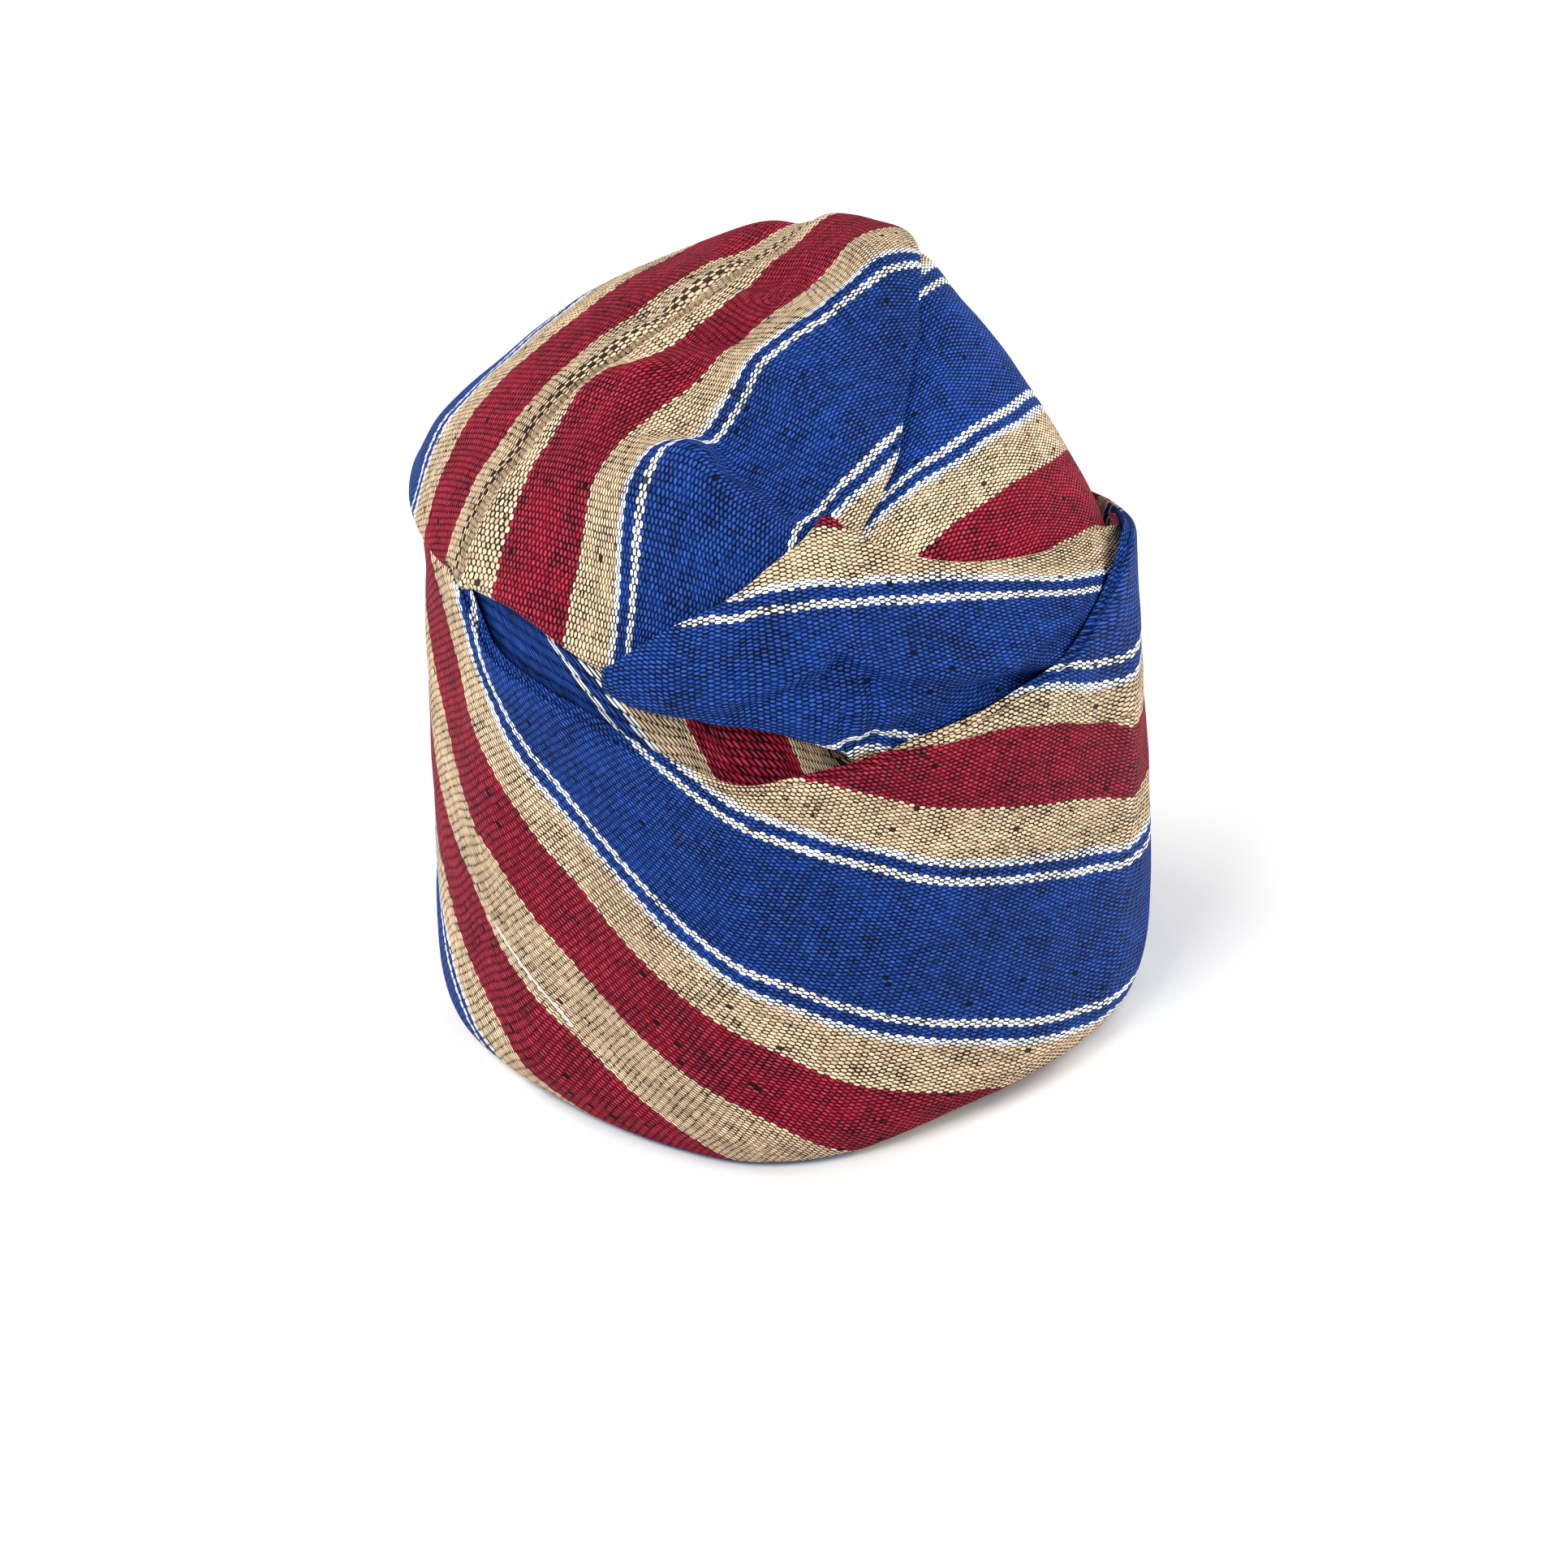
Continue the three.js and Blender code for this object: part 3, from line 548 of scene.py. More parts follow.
def run_along(points, across, ring=False):
    """Length along the stripes over a grid of points. It grows by one millimetre per
    millimetre along the lines of one place in the repeat and stays the same square to
    them, as nearly as a smooth field can."""
    step_0, step_1 = np.gradient(points, axis=0), np.gradient(points, axis=1)
    rise_0, rise_1 = np.gradient(across, axis=0), np.gradient(across, axis=1)
    e = np.sum(step_0 * step_0, axis=-1)
    f = np.sum(step_0 * step_1, axis=-1)
    g = np.sum(step_1 * step_1, axis=-1)
    length = np.sqrt(e * rise_1**2 - 2 * f * rise_0 * rise_1 + g * rise_0**2) + 1e-9
    t0, t1 = -rise_1 / length, rise_0 / length
    flow_0, flow_1 = e * t0 + f * t1, f * t0 + g * t1
    flow_0 = (flow_0[1:] + flow_0[:-1]) / 2
    flow_1 = np.pad((flow_1[:, 1:] + flow_1[:, :-1]) / 2, ((0, 0), (1, 1)))
    source = np.diff(flow_1, axis=1)
    if ring:
        source = source[:-1] + flow_0 - np.roll(flow_0, 1, 0)
        tiled = np.concatenate([source, source[:, ::-1]], 1)
    else:
        source = source + np.diff(np.pad(flow_0, ((1, 1), (0, 0))), axis=0)
        tiled = np.block([[source, source[:, ::-1]], [source[::-1], source[::-1, ::-1]]])
    curve = [2 * np.cos(2 * math.pi * np.fft.fftfreq(n)) - 2 for n in tiled.shape]
    laplace = curve[0][:, None] + curve[1][None]
    laplace[0, 0] = 1
    run = np.real(np.fft.ifft2(np.fft.fft2(tiled) / laplace))
    run = run[:len(source), :source.shape[1]]
    return np.concatenate([run, run[:1]]) if ring else run


def with_run(points, across, ring=False):
    """Cloth coordinates: the place across the stripes and the length along them."""
    return np.stack([across, run_along(points, across, ring)], -1)


def slanted(x, y):
    """Plan position along the slanted axis and square to it. The same turn leads back."""
    turn = math.radians(CROWN_TURN)
    return math.cos(turn) * x + math.sin(turn) * y, math.sin(turn) * x - math.cos(turn) * y


def crown_arc(steps):
    """Length over the crown square to the slanted axis, on a grid of the plan."""
    q, p = np.meshgrid(steps, steps, indexing="ij")
    x, y = slanted(q, p)
    azimuth = np.degrees(np.arctan2(x, -y))
    share = np.hypot(x, y) / hem_radius(azimuth)
    z = crown_point(azimuth, np.clip(share, CENTRE_SHARE, 1))[..., 2]
    arc = np.cumsum(np.hypot(PLAN_STEP, np.diff(z, axis=1)), axis=1)
    return np.concatenate([np.zeros((len(steps), 1)), arc], 1)


def crown_across(points, guides, places):
    """Place in the repeat of points on the crown."""
    steps = np.arange(-PLAN_HALF, PLAN_HALF + 1, PLAN_STEP)
    grid = crown_arc(steps)
    at_q, at_p = slanted(points[..., 0], points[..., 1])

    def arc_at(p):
        fq = np.clip((at_q - steps[0]) / PLAN_STEP, 0, len(steps) - 1.001)
        fp = np.clip((p - steps[0]) / PLAN_STEP, 0, len(steps) - 1.001)
        i, j = fq.astype(int), fp.astype(int)
        a, b = fq - i, fp - j
        low = grid[i, j] * (1 - b) + grid[i, j + 1] * b
        high = grid[i + 1, j] * (1 - b) + grid[i + 1, j + 1] * b
        return (low * (1 - a) + high * a).ravel()

    lines = np.stack([arc_at(line) for line in guide_lines(guides, at_q)])
    return between_guides(arc_at(at_p), lines, places).reshape(at_q.shape)


# A point inside the hat, turns of a rounded edge and the least step between two points
INSIDE = np.array([0.0, 0.0, 60.0])
EDGE_TURNS = np.radians((0.0, 45.0, 90.0))
LEAST_STEP = 0.05


def unit(v):
    return v / np.maximum(np.linalg.norm(v, axis=-1, keepdims=True), 1e-9)


def facing_out(normal, points):
    """The normals of points, turned if they look towards the inside of the hat."""
    return -normal if np.sum(normal * (points - INSIDE)) < 0 else normal


def point_values(mesh, name, kind, values):
    """Values at the points of a mesh, for its material to read."""
    layer = mesh.attributes.new(name, kind, "POINT")
    layer.data.foreach_set("value" if kind == "FLOAT" else "vector", values.astype(np.float32).ravel())


def add_object(name, data):
    thing = bpy.data.objects.new(name, data)
    bpy.context.scene.collection.objects.link(thing)
    return thing


def add_mesh(name, points, faces, cloth, wear, material, lids=()):
    """Mesh in metres from points in millimetres, faces and the cloth coordinates of each
    face corner. Lids are the small faces that close the hole at a pole."""
    a, b, c, d = (points[faces[:, k]] for k in range(4))
    flip = -1 if np.sum(a * np.cross(b, c)) + np.sum(a * np.cross(c, d)) < 0 else 1
    faces, cloth = faces[:, ::flip], cloth[:, ::flip].reshape(-1, 2)
    lid_faces = [list(lid[::flip]) for lid, _ in lids]
    for _, lid_cloth in lids:
        cloth = np.concatenate([cloth, lid_cloth[::flip]])
    mesh = bpy.data.meshes.new(name)
    mesh.from_pydata((points * MM).tolist(), [], faces.tolist() + lid_faces)
    layer = mesh.uv_layers.new(name="cloth")
    layer.data.foreach_set("uv", cloth.astype(np.float32).ravel())
    point_values(mesh, "wear", "FLOAT", wear)
    mesh.polygons.foreach_set("use_smooth", [True] * len(mesh.polygons))
    mesh.materials.append(material)
    mesh.update()
    return add_object(name, mesh)


def cell_corners(grid):
    return np.stack([grid[:-1, :-1], grid[1:, :-1], grid[1:, 1:], grid[:-1, 1:]], 2)


def quads(index, cloth):
    """Faces between neighbouring rows and columns of an index grid, with their corners'
    cloth coordinates."""
    return cell_corners(index).reshape(-1, 4), cell_corners(cloth).reshape(-1, 4, 2)


def loop_mesh(name, sections, cloth, wear, material):
    """Closed body of closed cross-sections that go right round. The last station and the
    last point of each section repeat the first, with their own cloth coordinates."""
    rows, cols = sections.shape[0] - 1, sections.shape[1] - 1
    i, j = np.meshgrid(np.arange(rows + 1) % rows, np.arange(cols + 1) % cols, indexing="ij")
    faces, corners = quads(i * cols + j, cloth)
    points = sections[:-1, :-1].reshape(-1, 3)
    return add_mesh(name, points, faces, corners, wear[:-1, :-1], material)


def sheet_slopes(outer, ring):
    """Steps between the points of a grid along both axes, and the normals out of the hat."""
    along = np.gradient(outer, axis=0)
    if ring:
        along[0] = along[-1] = (outer[1] - outer[-2]) / 2
    across = np.gradient(outer, axis=1)
    normal = facing_out(unit(np.cross(along, across)), outer)
    if ring:
        normal[:, 0] = unit(np.mean(normal[:, 0], axis=0))
    return along, across, normal


def wider_grid(rows, cols, ring):
    """A grid continued by the turns of its rounded edge: the nearest point of the grid, the
    way past it on both axes and the turn."""
    extra = len(EDGE_TURNS) - 1
    wide_i = np.arange(rows) if ring else np.arange(-extra, rows + extra)
    wide_j = np.arange(0 if ring else -extra, cols + extra)
    wide_i, wide_j = np.meshgrid(wide_i, wide_j, indexing="ij")
    i, j = np.clip(wide_i, 0, rows - 1), np.clip(wide_j, 0, cols - 1)
    turn = np.maximum(np.abs(wide_i - i), np.abs(wide_j - j))
    return i, j, np.sign(wide_i - i)[..., None], np.sign(wide_j - j)[..., None], turn


def cloth_rate(cloth, step, axis):
    """Growth of the cloth coordinates for each millimetre along an axis of the grid."""
    length = np.maximum(np.linalg.norm(step, axis=-1), LEAST_STEP)
    return np.gradient(cloth, axis=axis) / length[..., None]


def pole_lids(used, top_index, under_index, cloth):
    """Faces that close the small holes at the pole of a ring, above and below."""
    order = {old: new for new, old in enumerate(used.tolist())}
    lids = []
    for index, flip in ((top_index, -1), (under_index, 1)):
        corners = [order[v] for v in index[:-1, 0].tolist()]
        lids.append((corners[::flip], cloth[:-1, 0][::flip]))
    return lids


def sheet_mesh(name, outer, cloth, wear, wall, material, ring=False):
    """Thick cloth under a grid of outer points, with a rounded edge all round. A ring
    repeats its first station at the end and starts near a pole on its second axis."""
    along, across, normal = sheet_slopes(outer, ring)
    i, j, past_i, past_j, turn = wider_grid(outer.shape[0], outer.shape[1], ring)
    angle = EDGE_TURNS[turn][..., None]
    out = unit(past_i * unit(along)[i, j] + past_j * unit(across)[i, j])
    half, up = wall / 2, normal[i, j]
    middle = outer[i, j] - half * up
    top = middle + half * (np.cos(angle) * up + np.sin(angle) * out)
    under = middle + half * (-np.cos(angle) * up + np.sin(angle) * out)
    rate_i, rate_j = cloth_rate(cloth, along, 0), cloth_rate(cloth, across, 1)
    cloth = cloth[i, j] + half * angle * (past_i * rate_i[i, j] + past_j * rate_j[i, j])
    top_index = np.arange(turn.size).reshape(turn.shape)
    under_index = top_index + top_index.size
    edge = turn == len(EDGE_TURNS) - 1
    under_index[edge] = top_index[edge]
    if ring:
        top_index[-1], under_index[-1] = top_index[0], under_index[0]
    points = np.concatenate([top.reshape(-1, 3), under.reshape(-1, 3)])
    wear = np.tile(wear[i, j].ravel(), 2)
    faces, corners = quads(top_index, cloth)
    back_faces, back_corners = quads(under_index, cloth)
    faces = np.concatenate([faces, back_faces[:, ::-1]])
    corners = np.concatenate([corners, back_corners[:, ::-1]])
    used, compact = np.unique(faces, return_inverse=True)
    faces = compact.reshape(faces.shape)
    lids = pole_lids(used, top_index, under_index, cloth) if ring else []
    return add_mesh(name, points[used], faces, corners, wear[used], material, lids)


# Noise over the cloth: scales across and along the stripes per millimetre, offset of the
# seed, detail and roughness
FIELDS = {
    "wander": (0.05, 0.04, 0.0, 2.0, 0.5),
    "ragged": (0.6, 0.35, 13.0, 2.0, 0.5),
    "slack": (0.05, 0.05, 7.0, 2.0, 0.5),
    "width": (0.09, 0.05, 21.0, 3.0, 0.5),
    "strain": (0.13, 0.06, 11.0, 3.0, 0.6),
    "strained part": (0.25, 0.25, 31.0, 2.0, 0.5),
    "fleck": (1.5, 0.3, 17.0, 1.0, 0.5),
    "gap": (0.12, 0.09, 5.0, 2.0, 0.5),
    "patch": (0.06, 0.03, 3.0, 3.0, 0.5),
    "fuzz": (3.0, 3.0, 0.0, 3.0, 0.5),
}
# Ranges of values, as low and high, then what they are mapped to where that isn't 0 to 1
RANGES = {
    "width": (0.3, 0.7, 0.41, 0.48),
    "strain": (0.0, 0.009, 1.0, 0.0),
    "strained part": (0.5, 0.58),
    "fleck": (0.66, 0.72),
    "gap": (0.35, 0.7, 0.28, 0.52),
    "open": (-0.08, 0.12),
    "thread tone": (0.25, 0.75, 0.76, 1.24),
    "float tone": (0.0, 1.0, -0.2, 0.2),
    "patch": (0.3, 0.7, 0.86, 1.14),
    "painted float shade": (0.0, 0.85, 0.5, 1.14),
    "painted highlight spread": (0.0, 1.0, 0.8, 1.1),
    "top": (0.7, 1.0),
    "roughness": (0.0, 1.0, 0.62, 0.85),
    "upper edge": (0.0, 0.5),
    "flap": (-0.4, 0.4),
    "seam thread": (0.3, 0.55, 1.0, 0.0),
}

# How far threads wander, fray and slacken, in millimetres
WANDER = 1.6
FRAY = 0.35
SLACK = 2.0

# Float: powers and shares of the drop beside it and beyond its end, and its half length
SIDE_POWER = 2.3
SIDE_DROP = 0.86
END_POWER = 2.6
END_DROP = 0.97
HALF_FLOAT = 0.63

# Dark weft: how much each mark opens the gaps, and how rare specks and loose floats are
OPENS = {"loose": 0.34, "line": 0.42, "fleck": 0.6, "speck": 0.8}
SPECK_LIMIT = 0.997
LOOSE_POWER = 4.0
WEFT_SHARE = 0.96
WEFT_COLOR = (0.003, 0.004, 0.007, 1.0)

# Tone of a thread: step in the noise from thread to thread and for each millimetre along
THREAD_SPREAD = 14.62
THREAD_CHANGE = 0.02

# Painted highlight, a pale blue-white mixed into the tops of the floats; pale worn edges and
# the white thread of the seam, which lies beside the flap by so many millimetres
PAINTED_HIGHLIGHT = 0.05
PAINTED_HIGHLIGHT_COLOR = (0.62, 0.72, 0.9, 1.0)
WORN = 0.3
WORN_COLOR = (0.75, 0.72, 0.7, 1.0)
SEAM_THREAD_COLOR = (0.8, 0.79, 0.78, 1.0)
SEAM_THREAD_PLACE = -1.2

# Stripes of the upper wrap, as the place in the repeat for each millimetre above its edge
OVER_RATE = -0.94

# Relief: what each part adds to the height of the floats, its strength and depth in metres
RELIEF = {"fuzz": 0.2, "gap": -0.4, "upper edge": 2.5, "seam thread": 1.0, "flap": 3.0}
BUMP_STRENGTH = 0.9
BUMP_DEPTH = 0.0004
SPECULAR = 0.06


class Nodes:
    """Short hand for building a node tree."""

    def __init__(self, tree):
        self.tree = tree

    def add(self, kind, **settings):
        node = self.tree.nodes.new(kind)
        for key, value in settings.items():
            setattr(node, key, value)
        return node

    def put(self, socket, value):
        if isinstance(value, bpy.types.NodeSocket):
            self.tree.links.new(value, socket)
        else:
            socket.default_value = value

    def fill(self, node, values):
        """Gives a node its first inputs and returns its outputs."""
        for socket, value in zip(node.inputs, values):
            self.put(socket, value)
        return node.outputs

    def math(self, operation, a, b=0.0, c=0.0, clamp=False):
        node = self.add("ShaderNodeMath", operation=operation, use_clamp=clamp)
        return self.fill(node, (a, b, c))[0]

    def times(self, a, b, clamp=False):
        return self.math("MULTIPLY", a, b, clamp=clamp)

    def minus(self, a, b, clamp=False):
        return self.math("SUBTRACT", a, b, clamp=clamp)

    def size(self, a):
        return self.math("ABSOLUTE", a)

    def add_times(self, base, a, b):
        """The base plus a times b."""
        return self.math("MULTIPLY_ADD", a, b, base)

    def switch(self, on, a, b):
        """a where the condition is 0, b where it is 1."""
        return self.add_times(a, on, self.minus(b, a))

    def vector(self, x, y, z=0.0):
        return self.fill(self.add("ShaderNodeCombineXYZ"), (x, y, z))[0]

    def parts(self, vector):
        return self.fill(self.add("ShaderNodeSeparateXYZ"), (vector,))

    def attribute(self, name, output="Fac"):
        node = self.add("ShaderNodeAttribute", attribute_name=name, attribute_type="GEOMETRY")
        return node.outputs[output]

    def noise(self, at, detail=1.0, rough=0.5):
        node = self.add("ShaderNodeTexNoise", noise_dimensions="3D")
        self.put(node.inputs["Vector"], at)
        node.inputs["Scale"].default_value = 1.0
        node.inputs["Detail"].default_value = detail
        node.inputs["Roughness"].default_value = rough
        return node.outputs["Fac"]

    def random(self, x, y, z=0.0):
        node = self.add("ShaderNodeTexWhiteNoise", noise_dimensions="3D")
        self.put(node.inputs["Vector"], self.vector(x, y, z))
        return node.outputs["Value"]

    def map(self, value, name):
        """A value mapped over one of the named ranges."""
        low, high, *to = RANGES[name]
        node = self.add("ShaderNodeMapRange", clamp=True)
        return self.fill(node, (value, low, high, *(to or (0.0, 1.0))))[0]

    def field(self, at, seed, name):
        """One of the named noises over the cloth."""
        across_scale, along_scale, offset, detail, rough = FIELDS[name]
        across = self.times(at[0], across_scale)
        along = self.times(at[1], along_scale)
        return self.noise(self.vector(across, along, seed + offset), detail, rough)

    def mapped_field(self, at, seed, name):
        return self.map(self.field(at, seed, name), name)

    def mix(self, factor, a, b, blend="MIX"):
        node = self.add("ShaderNodeMix", data_type="RGBA", blend_type=blend)
        self.put(node.inputs["Factor"], factor)
        self.put(node.inputs["A"], a)
        self.put(node.inputs["B"], b)
        return node.outputs["Result"]


def stripe_ramp(n, place_on_cloth):
    """Colour of the stripe at a place across the cloth; the alpha is 0 on dashed threads."""
    ramp = n.add("ShaderNodeValToRGB")
    ramp.color_ramp.interpolation = "CONSTANT"
    elements = ramp.color_ramp.elements
    start = 0.0
    for k, (color, width) in enumerate(STRIPES):
        stop = elements[k] if k < 2 else elements.new(start / REPEAT)
        stop.position = start / REPEAT
        stop.color = COLORS[color] + (0.0 if color == "dash" else 1.0,)
        start += width
    n.put(ramp.inputs[0], n.math("FRACT", n.math("DIVIDE", place_on_cloth, REPEAT)))
    return ramp.outputs[0], ramp.outputs[1]


def cell_in_pick(n, picks, floats, pick):
    """The float of one pick that is nearest: its middle, its pick, the offsets and a
    distance. Every other pick is staggered by half a float."""
    stagger = n.times(n.math("FLOORED_MODULO", pick, 2.0), 0.5)
    placed = n.minus(floats, stagger)
    number = n.math("ROUND", placed)
    side = n.minus(placed, number)
    rise = n.minus(picks, pick)
    middle = n.math("ADD", number, stagger)
    away = n.add_times(n.times(n.times(side, side), INTERLOCK), rise, rise)
    return middle, pick, side, rise, away


def nearest_float(n, across, along):
    """Floats shift by half a pitch from pick to pick, and their ends reach between each other."""
    picks = n.math("DIVIDE", along, PICK)
    floats = n.math("DIVIDE", across, FLOAT)
    pick = n.math("ROUND", picks)
    other_pick = n.math("ADD", pick, n.math("SIGN", n.minus(picks, pick)))
    here = cell_in_pick(n, picks, floats, pick)
    other = cell_in_pick(n, picks, floats, other_pick)
    on = n.math("LESS_THAN", other[4], here[4])
    return [n.switch(on, a, b) for a, b in zip(here[:4], other[:4])]


def band_layers(n, across):
    """On the band the upper wrap has its own stripes and an edge that stands up a little."""
    past = n.attribute("over")
    is_over = n.math("GREATER_THAN", past, 0.0)
    upper = n.add_times(OVER_PLACE, past, OVER_RATE)
    return n.switch(is_over, across, upper), n.map(past, "upper edge")


def seam_marks(n):
    """Share of the flap and of the white thread of the seam at a place. The seam's own
    coordinates run from 0 to 1 along it and in millimetres away from it."""
    seam = n.parts(n.attribute("seam", "Vector"))
    inside = n.math("LESS_THAN", n.size(n.minus(seam[0], 0.5)), 0.5)
    off_thread = n.size(n.minus(seam[1], SEAM_THREAD_PLACE))
    flap = n.times(inside, n.map(seam[1], "flap"))
    return flap, n.times(inside, n.map(off_thread, "seam thread"))


def float_height(n, side, rise, width):
    """Rounded top of a float, from 1 in the middle to 0 in the gaps around it."""
    beside = n.math("POWER", n.math("DIVIDE", n.size(side), width), SIDE_POWER)
    beyond = n.math("POWER", n.math("DIVIDE", n.size(rise), HALF_FLOAT), END_POWER)
    drop = n.add_times(n.times(beyond, END_DROP), beside, SIDE_DROP)
    return n.minus(1.0, drop, clamp=True)


def gap_share(n, raw, middle, pick, height, solid, dashed, seed):
    """How far the dark weft shows: between floats, in strained lines, as flecks and specks,
    and as dashes on every third float of the dash stripe."""
    strain = n.size(n.minus(n.field(raw, seed, "strain"), 0.5))
    line = n.times(n.map(strain, "strain"), n.mapped_field(raw, seed, "strained part"))
    fleck = n.mapped_field(raw, seed, "fleck")
    speck = n.math("GREATER_THAN", n.random(middle, pick, seed + 5.0), SPECK_LIMIT)
    third = n.math("FLOOR", n.math("ADD", n.add_times(middle, pick, 1.5), 0.25))
    turn = n.math("FLOORED_MODULO", third, 3.0)
    dashes = n.times(n.math("LESS_THAN", turn, 0.5), n.minus(1.0, solid))
    loose = n.math("POWER", n.random(middle, pick, seed + 3.0), LOOSE_POWER)
    limit = n.mapped_field(raw, seed, "gap")
    for mark, share in zip((loose, line, fleck, speck), OPENS.values()):
        limit = n.add_times(limit, mark, share)
    limit = n.add_times(limit, dashes, dashed)
    return n.map(n.minus(limit, height), "open")


def float_tones(n, raw, middle, pick, along, height, seed):
    """Brightness of the dyed threads, which varies by thread, by float and over the cloth, times a
    painted shade that darkens each float towards its low sides and ends and lightens its top.
    """
    thread_at = n.vector(n.times(middle, THREAD_SPREAD), n.times(along, THREAD_CHANGE), seed)
    one = n.random(middle, pick, seed)
    tone = n.math("ADD", n.map(n.noise(thread_at), "thread tone"), n.map(one, "float tone"))
    tone = n.times(tone, n.mapped_field(raw, seed, "patch"))
    # painted shade: the tone goes from 0.5 at a float's low edges to 1.14 on its top
    return n.times(tone, n.map(height, "painted float shade")), one


def wandering(n, raw, seed):
    """Threads wander a little from straight, and floats lie a little early or late."""
    names = ("wander", "ragged", "slack")
    wander, ragged, slack = (n.minus(n.field(raw, seed, name), 0.5) for name in names)
    across = n.add_times(n.add_times(raw[0], wander, WANDER), ragged, FRAY)
    return across, n.add_times(raw[1], slack, SLACK)


def scaled_color(n, color, factor):
    node = n.add("ShaderNodeVectorMath", operation="SCALE")
    n.put(node.inputs["Vector"], color)
    n.put(node.inputs["Scale"], factor)
    return node.outputs[0]


def cloth_material(name, seed, over=False, painted_light_scale=1.0, dashed=0.75):
    """Striped cotton, warp-faced, with the dark weft showing in the gaps."""
    material = bpy.data.materials.new(name)
    material.use_nodes = True
    n = Nodes(material.node_tree)
    shader = material.node_tree.nodes["Principled BSDF"]
    cloth = n.parts(n.add("ShaderNodeUVMap", uv_map="cloth").outputs[0])
    raw = (cloth[0], cloth[1])
    if over:
        upper_across, upper_edge = band_layers(n, cloth[0])
        raw = (upper_across, cloth[1])
        flap, seam_thread = seam_marks(n)
    across, along = wandering(n, raw, seed)
    middle, pick, side, rise = nearest_float(n, across, along)
    color, solid = stripe_ramp(n, n.times(middle, FLOAT))
    height = float_height(n, side, rise, n.mapped_field(raw, seed, "width"))
    tone, one = float_tones(n, raw, middle, pick, along, height, seed)
    gap = gap_share(n, raw, middle, pick, height, solid, dashed, seed)

    # painted light: the colour is scaled by the factor passed in, which makes a whole piece lighter
    color = scaled_color(n, color, n.times(tone, painted_light_scale))
    # painted highlight: the tops of the floats are mixed towards a pale blue-white, standing in for
    # light glancing off them
    top = n.map(n.times(height, n.map(one, "painted highlight spread")), "top")
    color = n.mix(n.times(top, PAINTED_HIGHLIGHT), color, PAINTED_HIGHLIGHT_COLOR)
    color = n.mix(n.times(gap, WEFT_SHARE), color, WEFT_COLOR)
    if over:
        color = n.mix(seam_thread, color, SEAM_THREAD_COLOR)
    worn = n.times(n.attribute("wear"), WORN, clamp=True)
    n.put(shader.inputs["Base Color"], n.mix(worn, color, WORN_COLOR, "SOFT_LIGHT"))
    n.put(shader.inputs["Roughness"], n.map(one, "roughness"))
    shader.inputs["Specular IOR Level"].default_value = SPECULAR

    marks = [n.field(raw, seed, "fuzz"), gap]
    if over:
        marks += [upper_edge, seam_thread, flap]
    relief = height
    for mark, share in zip(marks, RELIEF.values()):
        relief = n.add_times(relief, mark, share)
    bump_node = n.add("ShaderNodeBump")
    bump_node.inputs["Strength"].default_value = BUMP_STRENGTH
    bump_node.inputs["Distance"].default_value = BUMP_DEPTH
    n.put(bump_node.inputs["Height"], relief)
    n.put(shader.inputs["Normal"], bump_node.outputs[0])
    return material


# Stations of the meshes
RING_STEPS = 432
BAND_FINENESS = 6
CAP_FINENESS = 4
DRAPE_STATIONS = 421
DRAPE_RINGS = 96
PANEL_STATIONS = 220
PANEL_RINGS = 56
FOLD_STATIONS = 260
FOLD_RINGS = 61

# Levels of the cap as shares of its height, above its foot
CAP_LEVELS = (0.2, 0.35, 0.5, 0.62, 0.72, 0.8, 0.88, 0.95, 1.0)

# Unevenness of a layer: number of waves, their length and their height
BAND_WAVES = [(9, 46, 0.55), (9, 20, 0.18)]
CAP_WAVES = (8, 30, 0.25)
CROWN_WAVES = [(8, 34, 0.42), (8, 15, 0.16)]
FOLD_WAVES = (8, 26, 0.3)

# Start and length of the ramps along which a form fades in
RIM_CALM = (0, 18)
POLE_CALM = (2, 6)
PLEAT_FADE = (10, 40)
HEM_HANGS = (0.93, 0.07)
PANEL_RISES = (0, 10)
CREST_STARTS = (-18, 14)
FOLD_STARTS = (0, 0.125)

# Place under the edge of the upper wrap, in millimetres, where there is no such wrap
NOT_COVERED = -20.0

# The hem rolls under by this many degrees, thin at the crease and thick where it hangs free
ROLL_TURN = 165
ROLL_STEPS = 6
ROLL_THIN = 1.25
ROLL_MORE = 0.95

# Belly of the band and the drop beside its top, for the sections
BELLY = 0.12
TOP_DROP = 1.2

# Shares of the band's height up to which the cap follows it and from which it leans in
CAP_FOLLOWS = 0.9
CAP_LEANS = 0.75

# The drape starts this near the pole. The panel ends short of the ends of the crease and
# of the hem, and lies deepest under the drape.
POLE_SHARE = 0.004
PANEL_SHORT = 3
PANEL_FIRST = 0.05
PANEL_LAST = 0.995
PANEL_LIFT = 0.75
PLEAT_LOSS = 0.6
FOLD_OVER_BAND = 6

# Gathers at the foot of the fold: radians for each degree of azimuth, then the middle and
# spread in azimuth and under the upper edge
GATHER_RATE = 1.35
GATHER_AZIMUTH = (12, 7)
GATHER_DEPTH = (50, 10)

# Wear: how far it spreads from an edge, and its share where that isn't 1
RIM_WEAR_SPREAD = 3.5
TOP_WEAR_SPREAD = 3
TOP_WEAR = 0.7
HEM_WEAR = 0.8

ring_turns = np.linspace(-180, 180, RING_STEPS + 1)


def uneven(points, seed, layers):
    return sum(waves(points, seed + k, *layer) for k, layer in enumerate(layers))


def outward(points):
    """Level directions away from the hat's axis."""
    return unit(points * np.array([1, 1, 0]))


def centre_of(name, points):
    """Move in the plan that brings the middle of the points to that of the CAD's node."""
    low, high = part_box(name)
    middle = (points.min((0, 1)) + points.max((0, 1))) / 2
    move = (np.array(low) + np.array(high)) / 2 / MM - middle
    return np.array([move[0], move[1], 0.0])


